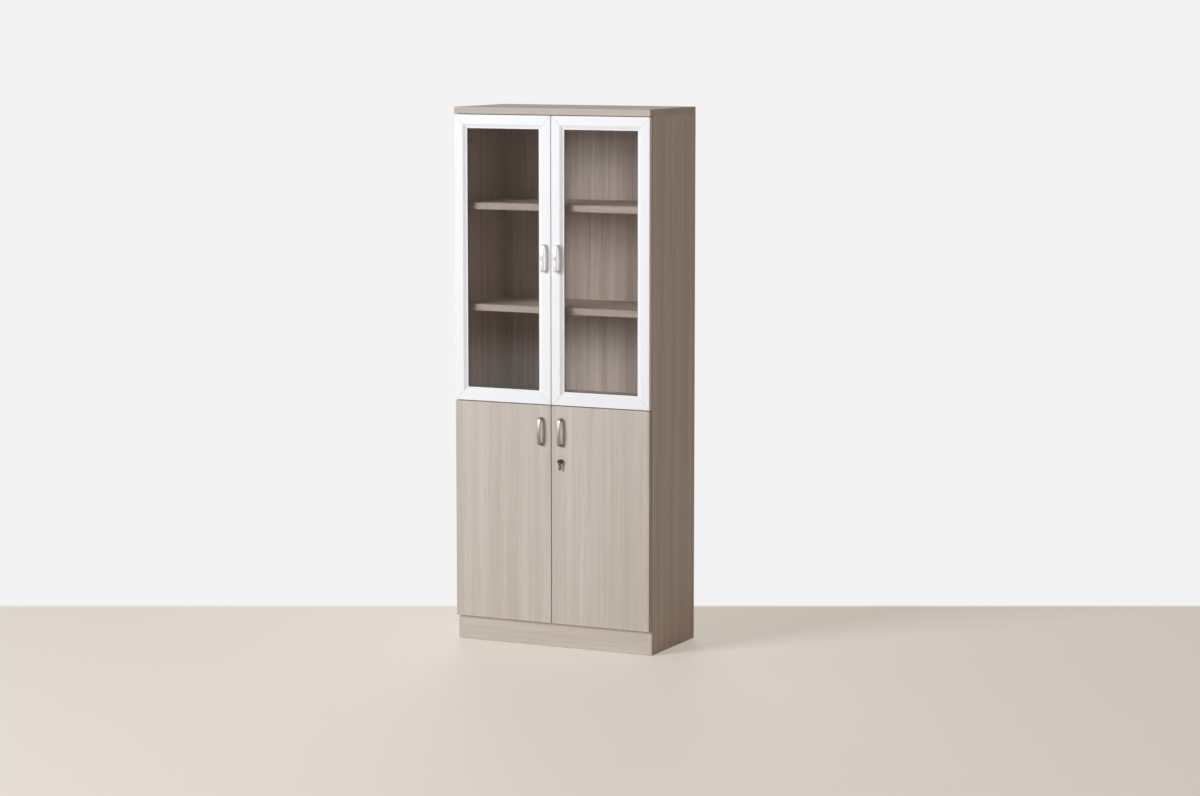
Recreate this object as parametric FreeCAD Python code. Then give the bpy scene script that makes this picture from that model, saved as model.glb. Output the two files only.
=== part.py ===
import FreeCAD, Part
import math
import os

# Tall office cabinet: two glazed doors over two board doors, millimetres, +Z up.
# The origin is on the floor, under the middle of the cabinet's box; the doors face -Y.

V = FreeCAD.Vector
UP = V(0, 0, 1)
RIGHT = V(1, 0, 0)
BACK = V(0, 1, 0)
FRONT = V(0, -1, 0)
os.makedirs("parts", exist_ok=True)

# ---------------------------------------------------------------- driving dimensions
body_width = 800.0
body_depth = 400.0          # front of the doors to the rear edge of the sides
body_height = 2000.0

side_board = 18.0
top_board = 25.0
middle_board = 25.0
bottom_board = 18.0
plinth_board = 18.0
shelf_board = 25.0
back_board = 5.0
door_board = 18.0
edge_ease = 0.8             # eased edges of the banding on the visible boards
smooth_sides = 20           # flats of the lock's round parts and the key's hub
round_sides = 10            # flats of the repeated cups, cams and pads, to keep the model light
small_sides = 8             # flats of the cams, link eyes and screw heads
hidden_sides = 6            # flats of the pins, shanks and all that stays inside the boards

bottom_height = 90.0        # underside of the bottom board
middle_height = 909.0       # centre of the fixed middle board
upper_shelf_height = 1646.0     # top faces of the three loose shelves
centre_shelf_height = 1268.0
lower_shelf_height = 505.0
shelf_setback = 20.0        # behind the front edges of the sides
shelf_play = 0.5            # each end of a loose shelf
shelf_back_gap = 2.0

back_inset = 10.0           # rear edge of the sides to the back panels
groove_depth = 6.0
groove_play = 0.1
fit = 0.05                  # radial play of a fastener in its hole

door_standoff = 2.5         # back of a door to the front edges of the sides
door_side_gap = 1.5         # a door stops this short of the side's outer face
door_meeting_gap = 3.0
door_middle_gap = 3.0       # between an upper and a lower door
door_top_gap = 2.5
door_bottom_lap = 3.0       # lower doors end this far above the bottom board's underside

frame_width = 50.0          # glazed door: one frame member, outer edge to opening
frame_flat = 34.0           # flat band, before the bevel
frame_bevel_end = 46.0
frame_lip_front = 12.0      # height of the inner lip above the door's back
frame_lip_back = 9.0
frame_rebate = 41.0         # glass rebate starts here, from the outer edge
frame_corner = 2.0
glass_thickness = 5.0
glass_play = 0.3
bead_width = 7.0
bead_thickness = 3.6

handle_reach = 25.0
handle_spacing = 96.0       # screw to screw
handle_foot = 8.0
handle_shoulder = 19.0      # reach of the outer corners, before they are rounded
handle_armpit = 14.5        # reach of the inner corners
handle_strap = 5.0          # thickness at the crown
handle_width = 14.0
handle_shoulder_round = 7.0
handle_edge_ease = 1.5
lower_handle_drop = 96.5    # centre of a lower handle under the door's top
lower_handle_inset = 39.5   # from the door's meeting edge
upper_handle_rise = 10.0    # centre of an upper handle above the door's middle
handle_screw_radius = 2.0
handle_screw_head_radius = 4.0
handle_screw_head = 2.2
handle_screw_bite = 9.0
handle_screw_end_play = 1.0

hinge_axis_in = 6.5         # door's outer edge to the turning axis
hinge_axis_deep = 9.5       # door's back to the turning axis
hinge_end_inset = 100.0     # first and last hinge, from the door's ends
cup_radius = 17.5
cup_edge_distance = 4.0     # wood left between cup and door edge
cup_depth = 12.0
cup_wall = 1.0
cup_flange = 1.2
cup_flange_radius = 19.0
cup_ear_length = 52.0
cup_ear_width = 12.0
cup_plug_spacing = 45.0     # the cup's two press-in plugs
cup_plug_offset = 9.5
cup_plug_radius = 4.0
cup_plug_length = 11.0
plate_row = 37.0            # middle of the plate, behind the sides' front edges
plate_wing_length = 48.0
plate_wing_width = 14.0
plate_wing = 2.5
plate_rib_length = 50.0
plate_rib_width = 12.0
plate_rib_height = 8.0
arm_length = 74.0           # link pivot to the arm's rear end
arm_sheet = 1.2
arm_play = 0.1
arm_side_play = 0.3
arm_foot_gap = 0.3          # cheeks clear of the plate's wings
arm_nose_radius = 2.8
arm_web_start = 8.0         # web begins this far behind the link pivot
link_pivot_across = 13.0    # link pivot from the turning axis, along X
link_pivot_behind = 7.0     # and along Y
link_pin_radius = 1.2
link_pin_play = 0.05
link_eye_radius = 2.3
link_end_radius = 1.5
link_sheet = 1.6
link_width = 8.0
link_chord = 16.0
link_rise = 6.0
link_angle = 24.0           # chord below the board-to-board line, doors closed
link_bends = 4              # flats that make up the bend

cam_radius = 7.5
cam_cap = 0.5
cam_setback = 24.0          # cam centre to the joint
bolt_radius = 3.0
bolt_grip = 11.0
fitting_inset = 60.0        # cams, from the front and rear edges of the sides
dowel_radius = 4.0
dowel_length = 30.0
dowel_grip = 11.0
dowel_end_play = 0.5

pin_radius = 2.5
pin_grip = 9.0
pin_reach = 9.0
pin_row_front = 37.0
pin_row_back = 70.0
pin_pitch = 32.0
pin_spares = 1              # free holes above and below each shelf pin

glide_height = 2.0
glide_radius = 8.0
glide_inset = 45.0
glide_nail_radius = 1.2
glide_nail_length = 15.0

bumper_radius = 4.0
bumper_gap = 0.1            # left between a bumper and a closed door
bumper_inset = 25.0         # from the cabinet's centre line

lock_drop = 107.0           # lock centre under the centre of the handle
lock_rosette_radius = 11.0
lock_rosette = 1.5
lock_rosette_ease = 0.5
lock_body_radius = 9.0
lock_body_tail = 4.5        # body behind the door's back
lock_nut_radius = 12.5
lock_nut = 4.0
plug_radius = 6.5
plug_play = 0.05
plug_tail_side = 6.0
plug_tail = 4.5
tongue_length = 54.0
tongue_width = 14.0
tongue_sheet = 2.0
tongue_crank = 6.0          # the tongue's tip lies this much nearer the door
tongue_crank_start = 14.0
tongue_crank_run = 9.0
tongue_screw_radius = 4.5
tongue_screw_head = 2.0
key_blade = 2.0
key_blade_width = 7.0
key_blade_length = 22.0
key_play = 0.15
key_root = 5.5              # blade inside the hub
key_hub_gap = 0.3           # hub in front of the rosette
key_hub_radius = 7.8
key_hub_length = 16.0
key_hub_ease = 0.6
key_pivot_reach = 10.5      # folding pin in front of the hub's rear face
key_pin_radius = 1.25
key_pin_length = 14.4
bow_width = 8.0
bow_thickness = 5.0
bow_length = 33.0           # folding pin to the lower end
bow_corner = 2.0
bow_knuckle_radius = 3.2
bow_side_play = 0.2
bow_swing_gap = 0.6         # knuckle to the walls of the hub's slot
bow_eye_width = 3.6         # slot for the key ring
bow_eye_length = 15.0
bow_eye_end = 5.0           # left below that slot

latch_across = 22.0         # left door's bolt, from the cabinet's centre line
latch_plate = 2.0
latch_plate_width = 18.0
latch_plate_length = 56.0
latch_rod_radius = 2.5
latch_rod_behind = 10.0     # rod's centre behind the door's back
latch_rod_length = 62.0
latch_play = 0.1
latch_block = 12.0          # guide block along the rod
latch_block_width = 9.0
latch_top_gap = 1.5         # rod's top under the middle board, drawn back
latch_throw = 9.0
latch_hole_play = 0.6
latch_knob_radius = 2.0
latch_knob_reach = 7.0
latch_knob_gap = 1.0        # knob above the lower guide block, drawn back
latch_screw_head_radius = 3.0
latch_screw_head = 1.2
latch_screw_radius = 1.5
latch_screw_length = 10.0

# ---------------------------------------------------------------- planes worked out from them
front_y = handle_reach - (body_depth + handle_reach) / 2
back_y = front_y + body_depth
door_back_y = front_y + door_board
carcass_front_y = door_back_y + door_standoff
half_width = body_width / 2
inner_x = half_width - side_board
top_under = body_height - top_board
middle_under = middle_height - middle_board / 2
middle_top = middle_height + middle_board / 2
bottom_top = bottom_height + bottom_board
back_panel_rear_y = back_y - back_inset
back_panel_front_y = back_panel_rear_y - back_board
carcass_mid_y = (carcass_front_y + back_y) / 2

door_outer_x = half_width - door_side_gap
door_inner_x = door_meeting_gap / 2
door_width = door_outer_x - door_inner_x
upper_door_bottom = middle_height + door_middle_gap / 2
upper_door_top = top_under - door_top_gap
lower_door_bottom = bottom_height + door_bottom_lap
lower_door_top = middle_height - door_middle_gap / 2
upper_handle_height = (upper_door_bottom + upper_door_top) / 2 + upper_handle_rise
lower_handle_height = lower_door_top - lower_handle_drop
lock_height = lower_handle_height - lock_drop

hinge_x = door_outer_x - hinge_axis_in
hinge_y = door_back_y - hinge_axis_deep
cup_x = door_outer_x - cup_edge_distance - cup_radius
link_pivot = V(hinge_x - link_pivot_across, hinge_y + link_pivot_behind, 0)
upper_hinge_heights = [upper_door_bottom + hinge_end_inset,
                       (upper_door_bottom + upper_door_top) / 2,
                       upper_door_top - hinge_end_inset]
lower_hinge_heights = [lower_door_bottom + hinge_end_inset,
                       lower_door_top - hinge_end_inset]
fitting_rows = [carcass_front_y + fitting_inset, back_y - fitting_inset]


# ---------------------------------------------------------------- shapes used all over
def board(x0, x1, y0, y1, z0, z1):
    return Part.makeBox(x1 - x0, y1 - y0, z1 - z0, V(x0, y0, z0))


def prism(sides, radius, start, end):
    """Straight bar with a regular section, one corner towards +Z, or towards +X if it stands."""
    along = end - start
    level = abs(along.z) < abs(along.x) + abs(along.y)
    first = UP if level else RIGHT
    second = along.cross(first).normalize()
    corners = []
    for index in range(sides):
        turn = 2 * math.pi * index / sides
        corners.append(start + first * (radius * math.cos(turn)) + second * (radius * math.sin(turn)))
    return polygon_face(corners).extrude(along)


def mirrored(shape):
    return shape.mirror(V(0, 0, 0), RIGHT)


def both_sides(shapes):
    return shapes + [mirrored(shape) for shape in shapes]


def without(shape, cutters):
    return shape.cut(cutters) if cutters else shape


def closed_face(edges):
    return Part.Face(Part.Wire(edges))


def polygon_face(points):
    return Part.Face(Part.makePolygon(points + [points[0]]))


def edges_where(shape, chosen):
    return [edge for edge in shape.Edges if chosen(edge)]


def on_plane(edge, axis, value):
    return all(abs(getattr(point.Point, axis) - value) < 1e-6 for point in edge.Vertexes)


def raised(shape, height):
    return shape.translated(V(0, 0, height))


def save(node, solids):
    shape = solids[0] if len(solids) == 1 else Part.makeCompound(solids)
    shape.exportStep("parts/" + node + ".step")


# ---------------------------------------------------------------- carcass joints
# A knock-down joint is a round cam in one board and a bolt from it into the other.
def board_end_joint(under, thickness, y):
    """Cam, bolt and their holes where a level board meets the right-hand side."""
    level = under + thickness / 2
    cam_height = thickness / 2 + bolt_radius + cam_cap
    cam_foot = V(inner_x - cam_setback, y, under)
    bolt_start = V(cam_foot.x, y, level)
    joint = V(inner_x, y, level)
    bolt_end = V(inner_x + bolt_grip, y, level)
    bore = prism(hidden_sides, bolt_radius + fit, bolt_start, joint)
    cam_top = cam_foot + UP * cam_height
    cam = prism(small_sides, cam_radius, cam_foot, cam_top).cut(bore)
    bolt = prism(hidden_sides, bolt_radius, bolt_start, bolt_end)
    board_holes = [prism(small_sides, cam_radius + fit, cam_foot, cam_top), bore]
    side_hole = prism(hidden_sides, bolt_radius + fit, joint, bolt_end)
    return cam, bolt, board_holes, side_hole


def top_joint(y):
    """Cam in the right-hand side and its bolt up into the top board."""
    centre_x = half_width - side_board / 2
    cam_height = side_board / 2 + bolt_radius + cam_cap
    level = top_under - cam_setback
    bolt_start = V(centre_x, y, level)
    joint = V(centre_x, y, top_under)
    bolt_end = V(centre_x, y, top_under + bolt_grip)
    bore = prism(hidden_sides, bolt_radius + fit, bolt_start, joint)
    cam_mouth = V(inner_x, y, level)
    cam_end = cam_mouth + RIGHT * cam_height
    cam = prism(small_sides, cam_radius, cam_mouth, cam_end).cut(bore)
    bolt = prism(hidden_sides, bolt_radius, bolt_start, bolt_end)
    side_holes = [prism(small_sides, cam_radius + fit, cam_mouth, cam_end), bore]
    top_hole = prism(hidden_sides, bolt_radius + fit, joint, bolt_end)
    return cam, bolt, side_holes, top_hole


def dowel_joint(joint, into_side, into_board):
    """Wooden dowel across a joint, with its two holes."""
    board_grip = dowel_length - dowel_grip
    board_end = joint + into_board * board_grip
    side_end = joint + into_side * dowel_grip
    dowel = prism(hidden_sides, dowel_radius, board_end, side_end)
    board_hole = prism(hidden_sides, dowel_radius + fit, joint, board_end + into_board * dowel_end_play)
    side_hole = prism(hidden_sides, dowel_radius + fit, joint, side_end + into_side * dowel_end_play)
    return dowel, board_hole, side_hole


cams = []
bolts = []
dowels = []
side_cuts = []
middle_cuts = []
bottom_cuts = []
top_cuts = []
plinth_cuts = []

for row in fitting_rows:
    for under, thickness, cuts in ((middle_under, middle_board, middle_cuts),
                                   (bottom_height, bottom_board, bottom_cuts)):
        cam, bolt, board_holes, side_hole = board_end_joint(under, thickness, row)
        cams.append(cam)
        bolts.append(bolt)
        cuts.extend(board_holes)
        side_cuts.append(side_hole)
    cam, bolt, side_holes, top_hole = top_joint(row)
    cams.append(cam)
    bolts.append(bolt)
    side_cuts.extend(side_holes)
    top_cuts.append(top_hole)

for height, y, cuts in ((middle_height, carcass_mid_y, middle_cuts),
                        (bottom_height + bottom_board / 2, carcass_mid_y, bottom_cuts),
                        (bottom_height / 2, carcass_front_y + plinth_board / 2, plinth_cuts)):
    dowel, board_hole, side_hole = dowel_joint(V(inner_x, y, height), RIGHT, -RIGHT)
    dowels.append(dowel)
    cuts.append(board_hole)
    side_cuts.append(side_hole)
dowel, side_hole, top_hole = dowel_joint(V(half_width - side_board / 2, carcass_mid_y, top_under), UP, -UP)
dowels.append(dowel)
side_cuts.append(side_hole)
top_cuts.append(top_hole)


# ---------------------------------------------------------------- back panels in their grooves
def back_groove(x0, x1, z0, z1):
    return board(x0, x1, back_panel_front_y - groove_play, back_panel_rear_y + groove_play, z0, z1)


groove_reach = groove_depth - groove_play
back_half = inner_x + groove_reach
back_panels = {
    "back_panel_lower": (bottom_top - groove_reach, middle_under + groove_reach),
    "back_panel_upper": (middle_top - groove_reach, top_under + groove_reach),
}
for node, (low, high) in back_panels.items():
    save(node, [board(-back_half, back_half, back_panel_front_y, back_panel_rear_y, low, high)])

side_cuts.append(back_groove(inner_x, inner_x + groove_depth, bottom_top - groove_depth, top_under))
top_cuts.append(back_groove(0, back_half + groove_play, top_under, top_under + groove_depth))
middle_cuts.append(back_groove(0, inner_x, middle_top - groove_depth, middle_top))
middle_cuts.append(back_groove(0, inner_x, middle_under, middle_under + groove_depth))
bottom_cuts.append(back_groove(0, inner_x, bottom_top - groove_depth, bottom_top))

# ---------------------------------------------------------------- shelves on their pins
pins = []
pin_rows = [carcass_front_y + pin_row_front, back_y - pin_row_back]
shelf_front_y = carcass_front_y + shelf_setback
shelf_back_y = back_panel_front_y - shelf_back_gap
shelf_end = inner_x - shelf_play
shelves = {
    "shelf_upper": upper_shelf_height,
    "shelf_centre": centre_shelf_height,
    "shelf_lower": lower_shelf_height,
}
for node, shelf_top in shelves.items():
    shelf_under = shelf_top - shelf_board
    plank = board(-shelf_end, shelf_end, shelf_front_y, shelf_back_y, shelf_under, shelf_top)
    front_edges = edges_where(plank, lambda edge: on_plane(edge, "y", shelf_front_y)
                              and abs(edge.Length - 2 * shelf_end) < 1e-6)
    save(node, [plank.makeChamfer(edge_ease, front_edges)])
    pin_height = shelf_under - pin_radius
    for row in pin_rows:
        mouth = V(inner_x, row, pin_height)
        pins.append(prism(hidden_sides, pin_radius, mouth - RIGHT * pin_reach, mouth + RIGHT * pin_grip))
        for step in range(-pin_spares, pin_spares + 1):
            hole = mouth + UP * (step * pin_pitch)
            side_cuts.append(prism(hidden_sides, pin_radius + fit, hole, hole + RIGHT * pin_grip))

# ---------------------------------------------------------------- glides and bumpers
glides = []
for row in (carcass_front_y + glide_inset, back_y - glide_inset):
    foot = V(half_width - side_board / 2, row, 0)
    top = foot + UP * glide_height
    nail_tip = top + UP * glide_nail_length
    nail = prism(hidden_sides, glide_nail_radius, top, nail_tip)
    glides.append(prism(round_sides, glide_radius, foot, top).fuse(nail))
    side_cuts.append(prism(hidden_sides, glide_nail_radius + fit, top, nail_tip))

bumper_heights = [middle_height + middle_board / 4, middle_height - middle_board / 4,
                  bottom_height + bottom_board / 2 + door_bottom_lap / 2]
bumpers = []
for height in bumper_heights:
    seat = V(bumper_inset, carcass_front_y, height)
    bumpers.append(prism(small_sides, bumper_radius, seat, seat + FRONT * (door_standoff - bumper_gap)))

# ---------------------------------------------------------------- concealed hinges
# Made for the right-hand side at height zero, then raised and mirrored.
def cup_plug_seats():
    """Where the cup's two plugs enter the door's back."""
    return [V(cup_x - cup_plug_offset, door_back_y, side * cup_plug_spacing / 2) for side in (-1, 1)]


def hinge_cup():
    """Pressed cup let into the door; its flange lies on the door's back and carries two plugs."""
    mouth = V(cup_x, door_back_y, 0)
    flange_top = mouth + BACK * cup_flange
    floor = mouth + FRONT * cup_depth
    cup = prism(round_sides, cup_radius - fit, mouth, floor)
    rim = prism(round_sides, cup_flange_radius, mouth, flange_top)
    ear_x = cup_x - cup_plug_offset
    ears = board(ear_x - cup_ear_width / 2, ear_x + cup_ear_width / 2, door_back_y,
                 door_back_y + cup_flange, -cup_ear_length / 2, cup_ear_length / 2)
    plugs = [prism(hidden_sides, cup_plug_radius - fit, seat, seat + FRONT * cup_plug_length)
             for seat in cup_plug_seats()]
    hollow = prism(round_sides, cup_radius - cup_wall, flange_top, floor + BACK * cup_wall)
    return cup.fuse([rim, ears] + plugs).removeSplitter().cut(hollow)


def hinge_door_cuts():
    """Cup bore and plug holes in the back of a door."""
    mouth = V(cup_x, door_back_y, 0)
    cuts = [prism(round_sides, cup_radius, mouth, mouth + FRONT * cup_depth)]
    for seat in cup_plug_seats():
        cuts.append(prism(hidden_sides, cup_plug_radius, seat, seat + FRONT * cup_plug_length))
    return cuts


def hinge_plate():
    """Cross-shaped plate on the side board: two wings and a rib for the arm."""
    row_y = carcass_front_y + plate_row
    wings = board(inner_x - plate_wing, inner_x, row_y - plate_wing_width / 2, row_y + plate_wing_width / 2,
                  -plate_wing_length / 2, plate_wing_length / 2)
    rib = board(inner_x - plate_rib_height, inner_x, row_y - plate_rib_length / 2,
                row_y + plate_rib_length / 2, -plate_rib_width / 2, plate_rib_width / 2)
    return wings.fuse(rib).removeSplitter()


def hinge_arm():
    """Folded channel over the plate's rib, its two cheeks drawn out to carry the link pin."""
    foot_x = inner_x - plate_wing - arm_foot_gap
    web_in_x = inner_x - plate_rib_height - arm_play
    web_out_x = web_in_x - arm_sheet
    web_y = link_pivot.y + arm_web_start
    rear_y = link_pivot.y + arm_length
    half_in = plate_rib_width / 2 + arm_side_play
    half_out = half_in + arm_sheet
    blank = polygon_face([V(foot_x, web_y, 0), V(foot_x, rear_y, 0), V(web_out_x, rear_y, 0),
                          V(web_out_x, web_y, 0), V(link_pivot.x - arm_nose_radius, link_pivot.y, 0),
                          V(link_pivot.x + arm_nose_radius, link_pivot.y, 0)])
    nose = prism(small_sides, arm_nose_radius, link_pivot, link_pivot + UP * arm_sheet)
    cheek = blank.extrude(UP * arm_sheet).fuse(nose).removeSplitter()
    web = board(web_out_x, web_in_x, web_y, rear_y, -half_in, half_in)
    pin = prism(small_sides, link_pin_radius, link_pivot - UP * half_in, link_pivot + UP * half_in)
    cheeks = [raised(cheek, half_in), raised(cheek, -half_out)]
    return web.fuse(cheeks + [pin]).removeSplitter()


def hinge_link():
    """Gooseneck link: an eye on the arm's pin and a bent strap that reaches into the cup."""
    radius = (link_chord * link_chord / 4 + link_rise * link_rise) / (2 * link_rise)
    angle = math.radians(180 + link_angle)
    along = V(math.cos(angle), math.sin(angle), 0)
    across = V(along.y, -along.x, 0)
    tip = link_pivot + along * link_chord
    middle = link_pivot + along * (link_chord / 2)
    centre = middle - across * (radius - link_rise)
    half_turn = math.asin(link_chord / 2 / radius)
    if link_rise > radius:
        half_turn = math.pi - half_turn
    outer = []
    inner = []
    for step in range(link_bends + 1):
        turn = half_turn * (2 * step / link_bends - 1)
        outward = across * math.cos(turn) + along * math.sin(turn)
        outer.append(centre + outward * (radius + link_sheet / 2))
        inner.append(centre + outward * (radius - link_sheet / 2))
    strap = polygon_face(outer + inner[::-1]).extrude(UP * link_width)
    rise = UP * link_width
    eye = prism(small_sides, link_eye_radius, link_pivot, link_pivot + rise)
    end = prism(hidden_sides, link_end_radius, tip, tip + rise)
    bore_radius = (link_pin_radius + link_pin_play) / math.cos(math.pi / small_sides)
    bore = prism(small_sides, bore_radius, link_pivot, link_pivot + rise)
    return raised(strap.fuse([eye, end]).removeSplitter().cut(bore), -link_width / 2)


all_hinge_heights = lower_hinge_heights + upper_hinge_heights
plates = []
arms = []
for height in all_hinge_heights:
    plates.append(raised(hinge_plate(), height))
    arms.append(raised(hinge_arm(), height))

# ---------------------------------------------------------------- carcass boards
side = board(inner_x, half_width, carcass_front_y, back_y, glide_height, top_under)
side = without(side, side_cuts)
top = board(-half_width, half_width, front_y, back_y, top_under, body_height)
top_edges = edges_where(top, lambda edge: on_plane(edge, "y", front_y)
                        or on_plane(edge, "x", half_width) or on_plane(edge, "x", -half_width))
top = without(top.makeChamfer(edge_ease, top_edges), both_sides(top_cuts))
middle = board(-inner_x, inner_x, carcass_front_y, back_y, middle_under, middle_top)
latch_rod_y = door_back_y + latch_rod_behind
latch_hole_foot = V(-latch_across, latch_rod_y, middle_under)
latch_hole = prism(round_sides, latch_rod_radius + latch_hole_play, latch_hole_foot,
                   latch_hole_foot + UP * latch_throw)
middle = without(middle, both_sides(middle_cuts) + [latch_hole])
bottom = board(-inner_x, inner_x, carcass_front_y, back_y, bottom_height, bottom_top)
bottom = without(bottom, both_sides(bottom_cuts))
plinth = board(-inner_x, inner_x, carcass_front_y, carcass_front_y + plinth_board,
               glide_height, bottom_height)
plinth = without(plinth, both_sides(plinth_cuts))

save("side_panel_right", [side])
save("side_panel_left", [mirrored(side)])
save("top_panel", [top])
save("middle_panel", [middle])
save("bottom_panel", [bottom])
save("plinth", [plinth])
save("cam_fittings", both_sides(cams))
save("cam_bolts", both_sides(bolts))
save("dowels", both_sides(dowels))
save("shelf_pins", both_sides(pins))
save("floor_glides", both_sides(glides))
save("door_bumpers", both_sides(bumpers))
save("hinge_plates", both_sides(plates))
save("hinge_arms", both_sides(arms))


# ---------------------------------------------------------------- bow handles
def bow_handle():
    """Cast handle: two straight legs and a slightly bowed strap, with rounded shoulders."""
    half = (handle_spacing + handle_foot) / 2
    inner = half - handle_foot
    crown = -handle_reach
    outline = closed_face([
        Part.LineSegment(V(0, 0, -half), V(0, -handle_shoulder, -half)).toShape(),
        Part.Arc(V(0, -handle_shoulder, -half), V(0, crown, 0), V(0, -handle_shoulder, half)).toShape(),
        Part.LineSegment(V(0, -handle_shoulder, half), V(0, 0, half)).toShape(),
        Part.LineSegment(V(0, 0, half), V(0, 0, inner)).toShape(),
        Part.LineSegment(V(0, 0, inner), V(0, -handle_armpit, inner)).toShape(),
        Part.Arc(V(0, -handle_armpit, inner), V(0, crown + handle_strap, 0),
                 V(0, -handle_armpit, -inner)).toShape(),
        Part.LineSegment(V(0, -handle_armpit, -inner), V(0, 0, -inner)).toShape(),
        Part.LineSegment(V(0, 0, -inner), V(0, 0, -half)).toShape(),
    ])
    slab = outline.extrude(RIGHT * handle_width).translated(RIGHT * (-handle_width / 2))
    shoulders = edges_where(slab, lambda edge: on_plane(edge, "y", -handle_shoulder)
                            and abs(edge.Length - handle_width) < 1e-6
                            and abs(edge.Vertexes[0].Z) > inner)
    bow = slab.makeFillet(handle_shoulder_round, shoulders)
    long_edges = edges_where(bow, lambda edge: edge.BoundBox.YMin < crown + handle_edge_ease
                             and edge.BoundBox.ZLength > inner)
    bow = bow.makeChamfer(handle_edge_ease, long_edges)
    taps = [prism(hidden_sides, handle_screw_radius, V(0, 0, z), V(0, -handle_screw_bite, z))
            for z in (-handle_spacing / 2, handle_spacing / 2)]
    return bow.cut(taps).Solids[0]


def handle_seats(x, height):
    """Where the two handle screws enter the back of a door."""
    return [V(x, door_back_y, height + side * handle_spacing / 2) for side in (-1, 1)]


def handle_screws(x, height):
    screws = []
    for seat in handle_seats(x, height):
        head = prism(small_sides, handle_screw_head_radius, seat, seat + BACK * handle_screw_head)
        tip = seat + FRONT * (door_board + handle_screw_bite - handle_screw_end_play)
        shank = prism(hidden_sides, handle_screw_radius - fit, seat, tip)
        screws.append(head.fuse(shank).removeSplitter())
    return screws


def handle_door_cuts(x, height):
    return [prism(hidden_sides, handle_screw_radius + fit, seat, seat + FRONT * door_board)
            for seat in handle_seats(x, height)]


def at_heights(shapes, levels):
    return [raised(shape, level) for level in levels for shape in shapes]


# ---------------------------------------------------------------- glazed upper doors
def frame_member(corner, along, inward, length):
    """One mitred length of the profiled frame; corner is its outer rear corner."""
    def at(across, height):
        return corner + inward * across + FRONT * height

    round_mid = frame_corner * (1 - math.sqrt(0.5))
    section = closed_face([
        Part.LineSegment(at(0, 0), at(frame_rebate, 0)).toShape(),
        Part.LineSegment(at(frame_rebate, 0), at(frame_rebate, frame_lip_back)).toShape(),
        Part.LineSegment(at(frame_rebate, frame_lip_back), at(frame_width, frame_lip_back)).toShape(),
        Part.LineSegment(at(frame_width, frame_lip_back), at(frame_width, frame_lip_front)).toShape(),
        Part.LineSegment(at(frame_width, frame_lip_front), at(frame_bevel_end, frame_lip_front)).toShape(),
        Part.LineSegment(at(frame_bevel_end, frame_lip_front), at(frame_flat, door_board)).toShape(),
        Part.LineSegment(at(frame_flat, door_board), at(frame_corner, door_board)).toShape(),
        Part.Arc(at(frame_corner, door_board), at(round_mid, door_board - round_mid),
                 at(0, door_board - frame_corner)).toShape(),
        Part.LineSegment(at(0, door_board - frame_corner), at(0, 0)).toShape(),
    ])
    blank = section.extrude(along * length)
    mitres = polygon_face([corner, corner + along * length,
                           corner + along * (length - frame_width) + inward * frame_width,
                           corner + along * frame_width + inward * frame_width])
    return blank.common(mitres.extrude(FRONT * door_board))


def glazing_bead(x0, x1, z0, z1):
    """Four mitred strips that hold the pane in its rebate from behind."""
    outer = [V(x0, 0, z0), V(x1, 0, z0), V(x1, 0, z1), V(x0, 0, z1)]
    inner = [V(x0 + bead_width, 0, z0 + bead_width), V(x1 - bead_width, 0, z0 + bead_width),
             V(x1 - bead_width, 0, z1 - bead_width), V(x0 + bead_width, 0, z1 - bead_width)]
    rear_y = door_back_y - frame_lip_back + glass_thickness
    strips = []
    for index in range(4):
        following = (index + 1) % 4
        face = polygon_face([outer[index], outer[following], inner[following], inner[index]])
        strips.append(face.extrude(BACK * bead_thickness).translated(BACK * rear_y))
    return strips


handle_x = door_inner_x + frame_width / 2
height = upper_door_top - upper_door_bottom
hinge_stile = frame_member(V(door_outer_x, door_back_y, upper_door_bottom), UP, -RIGHT, height)
meeting_stile = frame_member(V(door_inner_x, door_back_y, upper_door_bottom), UP, RIGHT, height)
pane_x0 = door_inner_x + frame_rebate + glass_play
pane_x1 = door_outer_x - frame_rebate - glass_play
pane_z0 = upper_door_bottom + frame_rebate + glass_play
pane_z1 = upper_door_top - frame_rebate - glass_play
pane_front_y = door_back_y - frame_lip_back
upper_door = {
    "stile_hinge": [hinge_stile.cut(at_heights(hinge_door_cuts(), upper_hinge_heights))],
    "stile_meeting": [meeting_stile.cut(handle_door_cuts(handle_x, upper_handle_height))],
    "rail_top": [frame_member(V(door_inner_x, door_back_y, upper_door_top), RIGHT, -UP, door_width)],
    "rail_bottom": [frame_member(V(door_inner_x, door_back_y, upper_door_bottom), RIGHT, UP, door_width)],
    "glass": [board(pane_x0, pane_x1, pane_front_y, pane_front_y + glass_thickness, pane_z0, pane_z1)],
    "bead": glazing_bead(pane_x0, pane_x1, pane_z0, pane_z1),
    "handle": [bow_handle().translated(V(handle_x, front_y, upper_handle_height))],
    "handle_screws": handle_screws(handle_x, upper_handle_height),
    "hinge_cups": at_heights([hinge_cup()], upper_hinge_heights),
    "hinge_links": at_heights([hinge_link()], upper_hinge_heights),
}
for piece, solids in upper_door.items():
    save("upper_right_" + piece, solids)
    save("upper_left_" + piece, [mirrored(solid) for solid in solids])

# ---------------------------------------------------------------- board lower doors
handle_x = door_inner_x + lower_handle_inset
leaf = board(door_inner_x, door_outer_x, front_y, door_back_y, lower_door_bottom, lower_door_top)
leaf = leaf.makeChamfer(edge_ease, edges_where(leaf, lambda edge: on_plane(edge, "y", front_y)))
leaf = leaf.cut(at_heights(hinge_door_cuts(), lower_hinge_heights)
                + handle_door_cuts(handle_x, lower_handle_height))

lock_centre = V(handle_x, 0, lock_height)


def lock_point(y):
    return V(lock_centre.x, y, lock_centre.z)


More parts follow.
